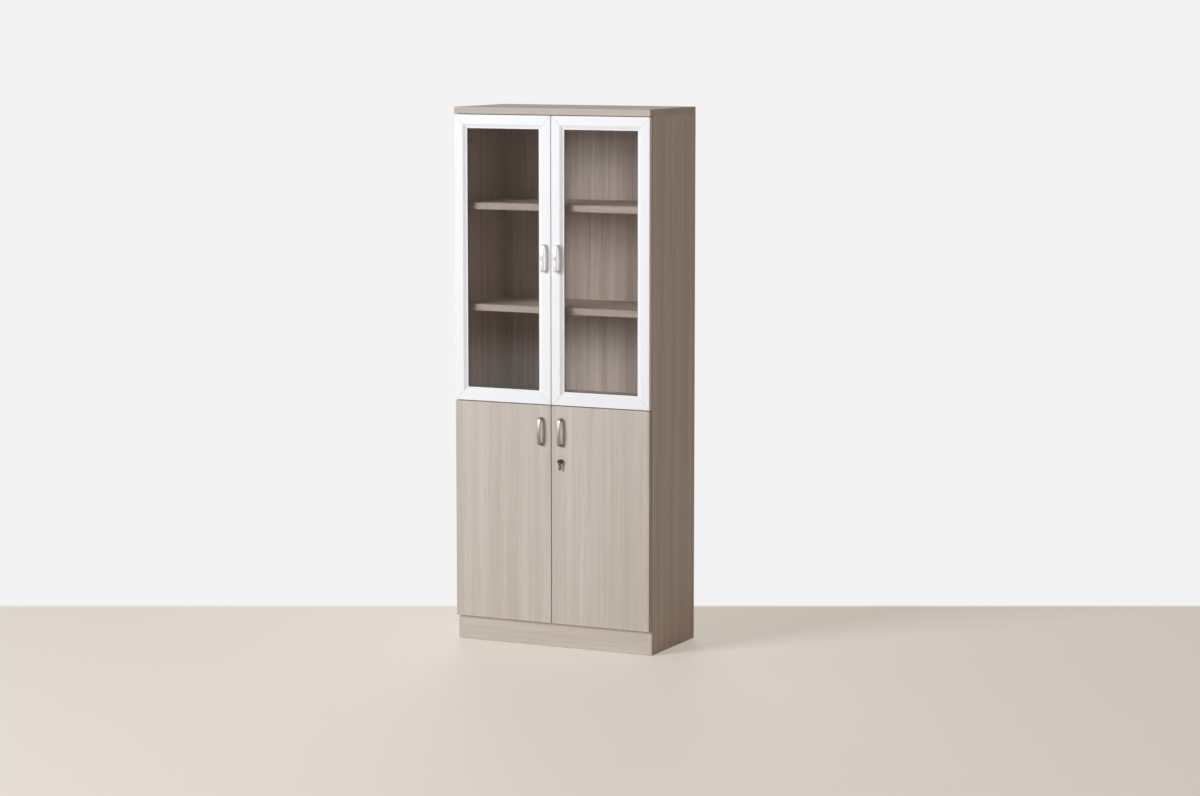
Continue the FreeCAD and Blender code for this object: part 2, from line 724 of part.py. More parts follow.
lock_hole = prism(round_sides, lock_body_radius + fit, lock_point(front_y), lock_point(door_back_y))
latch_base_top = middle_under - latch_top_gap - latch_throw
latch_base_bottom = latch_base_top - latch_plate_length
latch_screw_heights = [latch_base_bottom + latch_plate_length / 2 - latch_block / 4,
                       latch_base_bottom + latch_plate_length / 2 + latch_block / 4]
lower_door = {
    "handle": [bow_handle().translated(V(handle_x, front_y, lower_handle_height))],
    "handle_screws": handle_screws(handle_x, lower_handle_height),
    "hinge_cups": at_heights([hinge_cup()], lower_hinge_heights),
    "hinge_links": at_heights([hinge_link()], lower_hinge_heights),
}
for piece, solids in lower_door.items():
    save("lower_right_" + piece, solids)
    save("lower_left_" + piece, [mirrored(solid) for solid in solids])
save("lower_right_door", [leaf.cut(lock_hole)])

# ---------------------------------------------------------------- cylinder lock, right-hand door
rosette_front_y = front_y - lock_rosette
body_rear_y = door_back_y + lock_body_tail
rosette = prism(smooth_sides, lock_rosette_radius, lock_point(front_y), lock_point(rosette_front_y))
rosette_rim = edges_where(rosette, lambda edge: on_plane(edge, "y", rosette_front_y))
rosette = rosette.makeChamfer(lock_rosette_ease, rosette_rim)
body = prism(round_sides, lock_body_radius, lock_point(front_y), lock_point(body_rear_y))
plug_bore_radius = (plug_radius + plug_play) / math.cos(math.pi / smooth_sides)
plug_bore = prism(smooth_sides, plug_bore_radius, lock_point(rosette_front_y), lock_point(body_rear_y))
save("lock_body", [rosette.fuse(body).removeSplitter().cut(plug_bore)])

nut_end = lock_point(door_back_y + lock_nut)
nut = prism(hidden_sides, lock_nut_radius, lock_point(door_back_y), nut_end)
nut_bore = prism(round_sides, lock_body_radius + fit, lock_point(door_back_y), nut_end)
save("lock_nut", [nut.cut(nut_bore)])

tail_half = plug_tail_side / 2
slit_half = key_blade / 2 + key_play
slit_rise = key_blade_width / 2 + key_play
keyway = board(lock_centre.x - slit_half, lock_centre.x + slit_half,
               rosette_front_y, rosette_front_y + key_blade_length + key_play,
               lock_centre.z - slit_rise, lock_centre.z + slit_rise)
plug = prism(smooth_sides, plug_radius, lock_point(rosette_front_y), lock_point(body_rear_y))
tail = board(lock_centre.x - tail_half, lock_centre.x + tail_half, body_rear_y, body_rear_y + plug_tail,
             lock_centre.z - tail_half, lock_centre.z + tail_half)
save("lock_plug", [plug.fuse(tail).removeSplitter().cut(keyway)])

# The tongue hangs down from the plug's square tail and is cranked towards the door.
tongue_y = body_rear_y + plug_tail - tongue_sheet
crank_top = lock_height - tongue_crank_start
crank_end = crank_top - tongue_crank_run
tip_z = lock_height - tongue_length
head_z = lock_height + tongue_width / 2
side_view = polygon_face([
    V(0, tongue_y, head_z),
    V(0, tongue_y + tongue_sheet, head_z),
    V(0, tongue_y + tongue_sheet, crank_top),
    V(0, tongue_y + tongue_sheet - tongue_crank, crank_end),
    V(0, tongue_y + tongue_sheet - tongue_crank, tip_z),
    V(0, tongue_y - tongue_crank, tip_z),
    V(0, tongue_y - tongue_crank, crank_end),
    V(0, tongue_y, crank_top),
])
tongue = side_view.extrude(RIGHT * tongue_width).translated(RIGHT * (lock_centre.x - tongue_width / 2))
corners = edges_where(tongue, lambda edge: abs(edge.Length - tongue_sheet) < 1e-6
                      and (on_plane(edge, "z", head_z) or on_plane(edge, "z", tip_z)))
tongue = tongue.makeChamfer(tongue_width / 4, corners)
tail_hole = board(lock_centre.x - tail_half, lock_centre.x + tail_half, tongue_y, tongue_y + tongue_sheet,
                  lock_centre.z - tail_half, lock_centre.z + tail_half)
save("lock_tongue", [tongue.cut(tail_hole)])
save("tongue_screw", [prism(small_sides, tongue_screw_radius, lock_point(body_rear_y + plug_tail),
                            lock_point(body_rear_y + plug_tail + tongue_screw_head))])

# ---------------------------------------------------------------- folding key
# The blade is moulded into a round hub; the bow hangs on a pin in the hub's slot and folds
# up until it stands straight out.
hub_rear_y = rosette_front_y - key_hub_gap
hub_front_y = hub_rear_y - key_hub_length
fold_y = hub_rear_y - key_pivot_reach
fold = V(lock_centre.x, fold_y, lock_centre.z)
blade = board(lock_centre.x - key_blade / 2, lock_centre.x + key_blade / 2, hub_rear_y - key_root,
              rosette_front_y + key_blade_length, lock_centre.z - key_blade_width / 2,
              lock_centre.z + key_blade_width / 2)
pin_end = RIGHT * (key_pin_length / 2)
key_pin = prism(small_sides, key_pin_radius, fold - pin_end, fold + pin_end)
save("key_blade", [blade, key_pin])

hub = prism(smooth_sides, key_hub_radius, lock_point(hub_rear_y), lock_point(hub_front_y))
hub = hub.makeChamfer(key_hub_ease, edges_where(hub, lambda edge: on_plane(edge, "y", hub_front_y)))
slot_half = bow_width / 2 + bow_side_play
slot_reach = bow_knuckle_radius + bow_swing_gap
slot = board(lock_centre.x - slot_half, lock_centre.x + slot_half, hub_front_y, fold_y + slot_reach,
             lock_centre.z - key_hub_radius, lock_centre.z + slot_reach)
save("key_hub", [hub.cut([slot, blade, key_pin])])

bow_side = RIGHT * (bow_width / 2)
bow_low = lock_centre.z - bow_length
stem = board(lock_centre.x - bow_width / 2, lock_centre.x + bow_width / 2, fold_y - bow_thickness / 2,
             fold_y + bow_thickness / 2, bow_low, lock_centre.z)
stem = stem.makeChamfer(bow_corner, edges_where(stem, lambda edge: abs(edge.Length - bow_thickness) < 1e-6
                                                and on_plane(edge, "z", bow_low)))
knuckle = prism(smooth_sides, bow_knuckle_radius, fold - bow_side, fold + bow_side)
pin_hole_radius = (key_pin_radius + fit) / math.cos(math.pi / small_sides)
pin_hole = prism(small_sides, pin_hole_radius, fold - bow_side, fold + bow_side)
eye_low = bow_low + bow_eye_end + bow_eye_width / 2
eye_high = eye_low + bow_eye_length - bow_eye_width
through = FRONT * (bow_thickness / 2)
eye = [board(lock_centre.x - bow_eye_width / 2, lock_centre.x + bow_eye_width / 2,
             fold_y - bow_thickness / 2, fold_y + bow_thickness / 2, eye_low, eye_high)]
for height in (eye_low, eye_high):
    middle = V(lock_centre.x, fold_y, height)
    eye.append(prism(round_sides, bow_eye_width / 2, middle - through, middle + through))
save("key_bow", [stem.fuse(knuckle).removeSplitter().cut(eye + [pin_hole])])

# ---------------------------------------------------------------- bolt of the left-hand door
# Screwed to the door's back; its rod slides up into the underside of the middle board.
latch_x = -latch_across
plate = board(latch_x - latch_plate_width / 2, latch_x + latch_plate_width / 2, door_back_y,
              door_back_y + latch_plate, latch_base_bottom, latch_base_top)
rod_reach = latch_rod_behind + latch_rod_radius + latch_plate
guides = []
for foot_z in (latch_base_bottom, latch_base_top - latch_block):
    guides.append(board(latch_x - latch_block_width / 2, latch_x + latch_block_width / 2,
                        door_back_y + latch_plate, door_back_y + rod_reach, foot_z, foot_z + latch_block))
rod_top = middle_under - latch_top_gap
rod_bore = prism(round_sides, latch_rod_radius + latch_play, V(latch_x, latch_rod_y, latch_base_bottom),
                 V(latch_x, latch_rod_y, latch_base_top))
latch_seats = [V(latch_x, door_back_y + latch_plate, z) for z in latch_screw_heights]
latch_screw_holes = [prism(hidden_sides, latch_screw_radius + fit, seat, seat + FRONT * latch_screw_length)
                     for seat in latch_seats]
save("latch_body", [plate.fuse(guides).removeSplitter().cut([rod_bore] + latch_screw_holes)])

rod = prism(round_sides, latch_rod_radius, V(latch_x, latch_rod_y, rod_top - latch_rod_length),
            V(latch_x, latch_rod_y, rod_top))
knob_foot = V(latch_x, latch_rod_y, latch_base_bottom + latch_block + latch_knob_radius + latch_knob_gap)
knob = prism(small_sides, latch_knob_radius, knob_foot, knob_foot + BACK * latch_knob_reach)
save("latch_rod", [rod.fuse(knob).removeSplitter()])

latch_screws = []
for seat in latch_seats:
    head = prism(small_sides, latch_screw_head_radius, seat, seat + BACK * latch_screw_head)
    shank = prism(hidden_sides, latch_screw_radius, seat, seat + FRONT * latch_screw_length)
    latch_screws.append(head.fuse(shank).removeSplitter())
save("latch_screws", latch_screws)
save("lower_left_door", [mirrored(leaf).cut(latch_screw_holes)])
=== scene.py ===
import math

import bmesh
import bpy
from bmesh.types import BMEdge, BMVert
from mathutils import Matrix, Vector


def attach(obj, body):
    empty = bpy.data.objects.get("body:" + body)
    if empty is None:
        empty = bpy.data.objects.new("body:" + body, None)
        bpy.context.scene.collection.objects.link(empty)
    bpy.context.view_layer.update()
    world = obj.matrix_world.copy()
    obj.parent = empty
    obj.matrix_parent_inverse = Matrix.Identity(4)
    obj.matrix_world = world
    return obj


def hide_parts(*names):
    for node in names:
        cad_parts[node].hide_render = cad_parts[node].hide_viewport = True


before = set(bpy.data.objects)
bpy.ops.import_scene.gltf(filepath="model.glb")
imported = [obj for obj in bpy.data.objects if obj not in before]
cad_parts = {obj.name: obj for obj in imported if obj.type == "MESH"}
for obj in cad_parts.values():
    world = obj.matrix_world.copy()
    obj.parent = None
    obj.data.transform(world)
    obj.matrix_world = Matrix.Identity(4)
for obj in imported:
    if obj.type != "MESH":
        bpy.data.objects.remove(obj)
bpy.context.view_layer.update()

# ---------------------------------------- carcass boards
# Melamine-faced chipboard in a pale grey-beige wood decor, with matching edge banding.
# The decor paper is printed with straight streaks in soft bands, under a matt embossed
# press finish. The grain runs up the sides and doors, and along the level boards.
# Lengths are millimetres throughout, unless a comment says metres.
decor_light = "D5CABE"
decor_dark = "B7AA9C"
decor_mark = "9C8C7D"
band_size = (34.0, 1900.0)      # soft bands: across the grain, and along it
streak_size = (6.5, 420.0)      # clear streaks
line_size = (2.2, 170.0)        # fine lines, drawn coarser than the printed 0.5 mm to show
mark_size = (5.0, 42.0)         # rare darker dashes
band_share = 0.48               # of the tone
streak_share = 0.32
line_share = 0.20
tone_reach = 0.21               # from the middle tone to the lightest or the darkest
mark_start, mark_full = 0.70, 0.80      # noise values between which a dash sets in
mark_strength = 0.45
noise_low, noise_high = 0.3, 0.7        # nearly all values of a noise lie between these
press_smooth, press_rough = 0.46, 0.60  # roughness of the press finish
press_strength = 0.35
press_depth = 0.00006           # metres


def linear(hex_colour):
    """sRGB hex to the linear colour that shaders take."""
    parts = [int(hex_colour[place:place + 2], 16) / 255 for place in (0, 2, 4)]
    return tuple(part / 12.92 if part <= 0.04045 else ((part + 0.055) / 1.055) ** 2.4
                 for part in parts) + (1.0,)


def add(tree, kind, sockets=(), **settings):
    """Adds a node; sockets are (input, value or another node's output) pairs."""
    made = tree.nodes.new(kind)
    for name, value in settings.items():
        setattr(made, name, value)
    for name, value in sockets:
        if isinstance(value, bpy.types.NodeSocket):
            tree.links.new(value, made.inputs[name])
        else:
            made.inputs[name].default_value = value
    return made


def new_material(name):
    """An empty material with its output node."""
    material = bpy.data.materials.new(name)
    material.use_nodes = True
    material.node_tree.nodes.clear()
    return material, material.node_tree, add(material.node_tree, "ShaderNodeOutputMaterial")


def stretched(tree, across, along, upright, shift=0.0):
    """Object coordinates scaled so that one unit is one feature, along and across the grain."""
    place = add(tree, "ShaderNodeTexCoord")
    fine, long = 1000 / across, 1000 / along
    scale = (fine, fine, long) if upright else (long, fine, fine)
    mapped = add(tree, "ShaderNodeMapping", [("Vector", place.outputs["Object"]),
                                             ("Scale", scale),
                                             ("Location", (shift, shift, shift))])
    return mapped.outputs[0]


def melamine_board(name, upright, shift=0.0, contrast=1.0, light=decor_light, dark=decor_dark):
    """Printed decor: bands, streaks and fine lines add up to one value that picks the tone."""
    material, tree, output = new_material(name)
    layers = []
    for size, apart, detail, roughness in ((band_size, 0.0, 2.0, 0.5),
                                           (streak_size, 3.0, 3.0, 0.6),
                                           (line_size, 7.0, 2.0, 0.6),
                                           (mark_size, 11.0, 1.0, 0.5)):
        place = stretched(tree, *size, upright, shift + apart)
        noise = add(tree, "ShaderNodeTexNoise", [("Vector", place), ("Scale", 1.0),
                                                 ("Detail", detail), ("Roughness", roughness)])
        layers.append(noise.outputs[0])
    bands, streaks, lines, marks = layers
    weighted = add(tree, "ShaderNodeMath", [(0, bands), (1, band_share)], operation="MULTIPLY")
    with_streaks = add(tree, "ShaderNodeMath", [(0, streaks), (1, streak_share),
                                                (2, weighted.outputs[0])],
                       operation="MULTIPLY_ADD")
    grain = add(tree, "ShaderNodeMath", [(0, lines), (1, line_share),
                                         (2, with_streaks.outputs[0])],
                operation="MULTIPLY_ADD")
    reach = tone_reach / contrast
    tone = add(tree, "ShaderNodeMapRange", [("Value", grain.outputs[0]),
                                            ("From Min", 0.5 - reach), ("From Max", 0.5 + reach)])
    printed = add(tree, "ShaderNodeMix", [("Factor", tone.outputs[0]), ("A", linear(dark)),
                                          ("B", linear(light))], data_type="RGBA")
    rare = add(tree, "ShaderNodeMapRange", [("Value", marks), ("From Min", mark_start),
                                            ("From Max", mark_full), ("To Max", mark_strength)])
    colour = add(tree, "ShaderNodeMix", [("Factor", rare.outputs[0]),
                                         ("A", printed.outputs["Result"]),
                                         ("B", linear(decor_mark))], data_type="RGBA")
    gloss = add(tree, "ShaderNodeMapRange", [("Value", lines), ("From Min", noise_low),
                                             ("From Max", noise_high), ("To Min", press_smooth),
                                             ("To Max", press_rough)])
    press = add(tree, "ShaderNodeBump", [("Height", lines), ("Strength", press_strength),
                                         ("Distance", press_depth)])
    surface = add(tree, "ShaderNodeBsdfPrincipled", [("Base Color", colour.outputs["Result"]),
                                                     ("Roughness", gloss.outputs[0]),
                                                     ("Normal", press.outputs[0])])
    tree.links.new(surface.outputs[0], output.inputs["Surface"])
    return material


def dress(material, *nodes):
    """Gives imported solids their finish."""
    for name in nodes:
        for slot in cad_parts[name].material_slots:
            slot.material = material


upright_melamine = melamine_board("melamine_board_upright_grain", upright=True)
level_melamine = melamine_board("melamine_board_level_grain", upright=False, shift=5.0)
dress(level_melamine, "middle_panel", "bottom_panel", "plinth", "shelf_upper", "shelf_centre",
      "shelf_lower")
# The sides show the stronger streaks of the same decor.
side_melamine = melamine_board("melamine_side_board", upright=True, shift=17.0, contrast=1.6)
dress(side_melamine, "side_panel_left", "side_panel_right")
# The thick top board is given a decor a shade darker than the other boards.
top_melamine = melamine_board("melamine_top_board", upright=False, shift=13.0, light="C6BBAF",
                              dark="AA9D8E")
dress(top_melamine, "top_panel")

# ---------------------------------------- back panels
# Thin hard fibreboard, printed with the same decor on the face that looks into the cabinet and
# slid into grooves from above. The print is stronger than on the boards. The rear face is
# left bare: brown, matt and speckled with fibres.
rear_plane = 0.201              # metres; it lies inside the panels' thickness
fibre_length = 2.5
fibre_low, fibre_high = 0.35, 0.65      # noise values of the dark and the light tone
bare_dark = "8B6F53"
bare_light = "B59876"
bare_rougher = 0.3              # than the printed face

printed_board = melamine_board("printed_fibreboard", upright=True, shift=9.0, contrast=2.2)
back_tree = printed_board.node_tree
back_surface = back_tree.nodes["Principled BSDF"]
back_place = add(back_tree, "ShaderNodeTexCoord")
back_spot = add(back_tree, "ShaderNodeSeparateXYZ", [("Vector", back_place.outputs["Object"])])
rear_face = add(back_tree, "ShaderNodeMath", [(0, back_spot.outputs["Y"]), (1, rear_plane)],
                operation="GREATER_THAN")
back_scale = add(back_tree, "ShaderNodeMapping", [("Vector", back_place.outputs["Object"]),
                                                  ("Scale", (1000 / fibre_length,) * 3)])
fibres = add(back_tree, "ShaderNodeTexNoise", [("Vector", back_scale.outputs[0]), ("Scale", 1.0),
                                               ("Detail", 4.0), ("Roughness", 0.7)])
speckle = add(back_tree, "ShaderNodeMapRange", [("Value", fibres.outputs[0]),
                                                ("From Min", fibre_low),
                                                ("From Max", fibre_high)])
bare = add(back_tree, "ShaderNodeMix", [("Factor", speckle.outputs[0]), ("A", linear(bare_dark)),
                                        ("B", linear(bare_light))], data_type="RGBA")
printed_colour = back_surface.inputs["Base Color"].links[0].from_socket
either_face = add(back_tree, "ShaderNodeMix", [("Factor", rear_face.outputs[0]),
                                               ("A", printed_colour),
                                               ("B", bare.outputs["Result"])], data_type="RGBA")
printed_gloss = back_surface.inputs["Roughness"].links[0].from_socket
either_gloss = add(back_tree, "ShaderNodeMath", [(0, rear_face.outputs[0]), (1, bare_rougher),
                                                 (2, printed_gloss)], operation="MULTIPLY_ADD")
back_tree.links.new(either_face.outputs["Result"], back_surface.inputs["Base Color"])
back_tree.links.new(either_gloss.outputs[0], back_surface.inputs["Roughness"])
dress(printed_board, "back_panel_upper", "back_panel_lower")

# ---------------------------------------- cam fittings, bolts, dowels
# Knock-down fittings: die-cast zinc cams with a cross slot, turned with a screwdriver to
# pull a plated steel bolt. The cast face is dull grey and slightly pebbled, the bolts are
# bright with a faint spangle, and the dowels between them are pale, finely fibrous beech.
cam_face_radius = 8.1
cam_face_height = 0.4
cam_rows = (-107.0, 152.5)
cam_setback = 24.0              # cam centre to the joint
top_cam_height = 1951.0
board_undersides = (896.5, 90.0)
inner_face = 382.0              # inner face of the right-hand side
beech_dark = "C39A6B"
beech_light = "DDBB8E"
beech_fibre = (1.0, 12.0)       # across and along


def picked(geom, kind):
    """The vertices or the edges among an operator's results."""
    return [item for item in geom if isinstance(item, kind)]


def cross_head(shape, radius, height, seat, facing):
    """Adds a low domed head with a cross recess, standing on seat and facing that way."""
    arm_half, arm_reach, shoulder_ring = 0.13, 0.55, 0.8    # shares of the radius
    dome_fall, recess_depth = 0.45, 0.6                     # shares of the height
    lines = (-1.0, -shoulder_ring, -arm_reach, -arm_half,
             arm_half, arm_reach, shoulder_ring, 1.0)
    last = len(lines) - 1
    earlier = set(shape.verts)
    verts = bmesh.ops.create_grid(shape, x_segments=last, y_segments=last, size=1.0)["verts"]
    for vert in verts:      # the square grid is drawn into a disc
        across, up = (lines[round((place + 1) / 2 * last)] for place in vert.co.xy)
        round_x = across * math.sqrt(1 - up * up / 2)
        round_y = up * math.sqrt(1 - across * across / 2)
        dome = 1 - dome_fall * (round_x ** 2 + round_y ** 2)
        vert.co = Vector((round_x * radius, round_y * radius, dome * height))
    faces = {face for vert in verts for face in vert.link_faces}
    recess = []
    for face in faces:
        middle = face.calc_center_median() / radius
        near, far = sorted((abs(middle.x), abs(middle.y)))
        if near < arm_half and far < arm_reach:
            recess.append(face)
    rim = {edge for face in faces for edge in face.edges if edge.is_boundary}
    wall = bmesh.ops.extrude_edge_only(shape, edges=list(rim))["geom"]
    for vert in picked(wall, BMVert):
        vert.co.z = 0.0
    bmesh.ops.contextual_create(shape, geom=[edge for edge in picked(wall, BMEdge)
                                             if edge.is_boundary])
    sunk = bmesh.ops.extrude_face_region(shape, geom=recess)["geom"]
    bmesh.ops.translate(shape, verts=picked(sunk, BMVert), vec=(0, 0, -recess_depth * height))
    bmesh.ops.delete(shape, geom=recess, context="FACES_ONLY")
    turn = Vector((0, 0, 1)).rotation_difference(Vector(facing)).to_matrix().to_4x4()
    bmesh.ops.transform(shape, matrix=Matrix.Translation(Vector(seat)) @ turn,
                        verts=[vert for vert in shape.verts if vert not in earlier])


def fixed_order(shape):
    """Vertices, no edges, and faces of a bmesh, listed alike in each run."""
    verts = sorted(shape.verts, key=lambda vert: tuple(round(value, 7) for value in vert.co))
    number = {vert: place for place, vert in enumerate(verts)}
    faces = []
    for face in shape.faces:
        corners = [number[vert] for vert in face.verts]
        first = corners.index(min(corners))
        faces.append(corners[first:] + corners[:first])
    return [vert.co[:] for vert in verts], [], sorted(faces)


def piece(name, shape, material, body, replaced=(), smooth=35.0):
    """Turns a bmesh in millimetres into a finished object that rides on a body."""
    loose = [edge for edge in shape.edges if edge.is_wire]
    bmesh.ops.delete(shape, geom=loose, context="EDGES")
    bmesh.ops.scale(shape, vec=(0.001, 0.001, 0.001), verts=shape.verts)
    bmesh.ops.recalc_face_normals(shape, faces=shape.faces)
    mesh = bpy.data.meshes.new(name)
    mesh.from_pydata(*fixed_order(shape))
    shape.free()
    mesh.materials.append(material)
    mesh.shade_smooth()
    mesh.set_sharp_from_angle(angle=math.radians(smooth))
    made = bpy.data.objects.new(name, mesh)
    bpy.context.scene.collection.objects.link(made)
    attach(made, body)
    if replaced:
        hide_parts(*replaced)


def surface_grit(tree, grit, roughness, spread, strength, detail, stretch=(1.0, 1.0, 1.0)):
    """Surface grit: its noise, the roughness that wanders with it, and its relief."""
    relief_depth = 0.00005      # metres
    place = add(tree, "ShaderNodeTexCoord")
    scale = tuple(1000 / grit * part for part in stretch)
    mapped = add(tree, "ShaderNodeMapping", [("Vector", place.outputs["Object"]),
                                             ("Scale", scale)])
    grain = add(tree, "ShaderNodeTexNoise", [("Vector", mapped.outputs[0]), ("Scale", 1.0),
                                             ("Detail", detail)])
    gloss = add(tree, "ShaderNodeMapRange", [("Value", grain.outputs[0]), ("From Min", noise_low),
                                             ("From Max", noise_high),
                                             ("To Min", roughness - spread),
                                             ("To Max", roughness + spread)])
    relief = add(tree, "ShaderNodeBump", [("Height", grain.outputs[0]), ("Strength", strength),
                                          ("Distance", relief_depth)])
    return grain.outputs[0], gloss.outputs[0], relief.outputs[0]


def metal(name, colour, roughness, grit, strength, spread=0.06, stretch=(1.0, 1.0, 1.0)):
    """Bare or plated metal, a little darker in the hollows of its grit."""
    hollow_shade = 0.92
    material, tree, output = new_material(name)
    grain, gloss, relief = surface_grit(tree, grit, roughness, spread, strength, detail=3.0,
                                        stretch=stretch)
    tint = add(tree, "ShaderNodeMapRange", [("Value", grain), ("From Min", noise_low),
                                            ("From Max", noise_high), ("To Min", hollow_shade),
                                            ("To Max", 1.0)])
    shade = add(tree, "ShaderNodeMix", [("Factor", 1.0), ("A", linear(colour)),
                                        ("B", tint.outputs[0])],
                data_type="RGBA", blend_type="MULTIPLY")
    surface = add(tree, "ShaderNodeBsdfPrincipled", [("Base Color", shade.outputs["Result"]),
                                                     ("Metallic", 1.0), ("Roughness", gloss),
                                                     ("Normal", relief)])
    tree.links.new(surface.outputs[0], output.inputs["Surface"])
    return material


cast_zinc = metal("die_cast_zinc", "A9A9A7", roughness=0.45, grit=0.6, strength=0.4)
cams = bmesh.new()
for row in cam_rows:
    for side in (-1, 1):
        cross_head(cams, cam_face_radius, cam_face_height,
                   (side * inner_face, row, top_cam_height), (-side, 0, 0))
        for under in board_undersides:
            cross_head(cams, cam_face_radius, cam_face_height,
                       (side * (inner_face - cam_setback), row, under), (0, 0, -1))
piece("cam_faces", cams, cast_zinc, "carcass", ["cam_fittings"])

zinc_plate = metal("zinc_plated_steel", "C4C6C8", roughness=0.30, grit=1.6, strength=0.08)
dress(zinc_plate, "cam_bolts")

beech, beech_tree, beech_output = new_material("turned_beech")
beech_fibres = add(beech_tree, "ShaderNodeTexNoise", [
    ("Vector", stretched(beech_tree, *beech_fibre, upright=False)), ("Scale", 1.0),
    ("Detail", 3.0)])
beech_tone = add(beech_tree, "ShaderNodeMix", [("Factor", beech_fibres.outputs[0]),
                                               ("A", linear(beech_dark)),
                                               ("B", linear(beech_light))], data_type="RGBA")
beech_surface = add(beech_tree, "ShaderNodeBsdfPrincipled", [
    ("Base Color", beech_tone.outputs["Result"]), ("Roughness", 0.6)])
beech_tree.links.new(beech_surface.outputs[0], beech_output.inputs["Surface"])
dress(beech, "dowels")

# ---------------------------------------- shelf pins
# Turned steel pins with a collar, pushed into 5 mm holes; each loose shelf lies on four.
# The zinc plating is bright, with eased rims that catch the light.
pin_radius = 2.5
pin_half_length = 9.0           # half in the side, half under the shelf
collar_radius = 3.6
collar_height = 0.8
pin_ease = 0.3
pin_rows = (-130.0, 142.5)
shelf_undersides = (1621.0, 1243.0, 480.0)


def round_bar(shape, radius, length, centre, axis, segments=28):
    """Adds a cylinder along an axis."""
    turn = {"X": (math.pi / 2, 4, "Y"), "Y": (-math.pi / 2, 4, "X"), "Z": (0.0, 4, "Z")}[axis]
    bmesh.ops.create_cone(shape, cap_ends=True, segments=segments, radius1=radius,
                          radius2=radius, depth=length,
                          matrix=Matrix.Translation(centre) @ Matrix.Rotation(*turn))


def ease(shape, edges, width, segments=3, **options):
    """Rounds edges off."""
    bmesh.ops.bevel(shape, geom=edges, offset=width, segments=segments, affect="EDGES",
                    profile=0.5, material=-1, **options)


def ease_ends(shape, width, segments=3):
    """Rounds off the ends of bars."""
    ease(shape, [edge for edge in shape.edges
                 if any(len(face.verts) > 4 for face in edge.link_faces)], width, segments)


pins = bmesh.new()
for under in shelf_undersides:
    for row in pin_rows:
        for side in (-1, 1):
            for radius, start, end in ((pin_radius, -pin_half_length, pin_half_length),
                                       (collar_radius, -collar_height, 0.0)):
                centre = (side * (inner_face + (start + end) / 2), row, under - radius)
                round_bar(pins, radius, end - start, centre, "X")
ease_ends(pins, pin_ease, segments=2)
piece("round_shelf_pins", pins, zinc_plate, "carcass", ["shelf_pins"])

# ---------------------------------------- floor glides, door bumpers
# Glides: black polypropylene discs nailed under the side panels, 2 mm high, moulded matt.
# Bumpers: soft clear polyurethane domes, stuck on the front edges of the middle and bottom
# boards where the doors meet. They look glassy, with a soft gloss.
glide_foot_radius = 7.4
glide_top_radius = 8.0
glide_height = 2.0
glide_line = 391.0              # middle of the side panels
glide_rows = (-122.0, 167.5)
bumper_radius = 4.0
bumper_squash = 0.6
bumper_line = 25.0              # from the cabinet's centre line
bumper_heights = (915.25, 902.75, 100.5)
board_front = -167.0


def plastic(name, colour, roughness, grit, strength, through=0.0):
    """Moulded plastic: an even colour with a fine moulded texture."""
    material, tree, output = new_material(name)
    gloss, relief = surface_grit(tree, grit, roughness, 0.05, strength, detail=2.0)[1:]
    surface = add(tree, "ShaderNodeBsdfPrincipled", [("Base Color", linear(colour)),
                                                     ("Roughness", gloss), ("Normal", relief),
                                                     ("Transmission Weight", through)])
    tree.links.new(surface.outputs[0], output.inputs["Surface"])
    return material


black_plastic = plastic("black_polypropylene", "1B1918", roughness=0.45, grit=0.7, strength=0.3)
glides = bmesh.new()
for row in glide_rows:
    for side in (-1, 1):
        bmesh.ops.create_cone(glides, cap_ends=True, segments=40, radius1=glide_foot_radius,
                              radius2=glide_top_radius, depth=glide_height,
                              matrix=Matrix.Translation((side * glide_line, row,
                                                         glide_height / 2)))
piece("floor_glide_discs", glides, black_plastic, "carcass", ["floor_glides"])

clear_pad = plastic("clear_polyurethane", "E6E6E2", roughness=0.25, grit=1.5, strength=0.1,
                    through=0.6)
pads = bmesh.new()
for height in bumper_heights:
    for side in (-1, 1):
        turned = (Matrix.Translation((side * bumper_line, board_front, height))
                  @ Matrix.Rotation(math.pi / 2, 4, "X"))
        ball = bmesh.ops.create_uvsphere(pads, u_segments=28, v_segments=14,
                                         radius=bumper_radius, matrix=turned)["verts"]
        bmesh.ops.scale(pads, vec=(1, bumper_squash, 1),
                        space=Matrix.Translation((0, -board_front, 0)), verts=ball)
        cut = bmesh.ops.bisect_plane(pads, geom=pads.verts[:] + pads.edges[:] + pads.faces[:],
                                     dist=1e-4, plane_co=(0, board_front, 0),
                                     plane_no=(0, 1, 0), clear_outer=True)["geom_cut"]
        bmesh.ops.holes_fill(pads, edges=picked(cut, BMEdge))
piece("soft_door_bumpers", pads, clear_pad, "carcass", ["door_bumpers"])

# ---------------------------------------- hinge plates, arms and links
# Pressed steel parts of the concealed hinges: a cross-shaped plate on the side, a folded arm
# that clips over its rib, and the gooseneck link that reaches the cup. Nickel plating makes
# them bright and a little warm; the screws are zinc plated.
upper_hinge_heights = (1010.5, 1441.5, 1872.5)
lower_hinge_heights = (193.0, 807.5)
plate_row = -130.0
plate_screw = (4.2, 1.8)        # radius and height of the head
plate_screw_seat = 2.5          # from the side's face
plate_screw_reach = 17.0        # above and below the hinge
arm_screws = ((-141.0, 2.8), (-112.0, 3.2))     # row, and radius of the head
arm_screw_height = 1.2
arm_screw_seat = 9.3

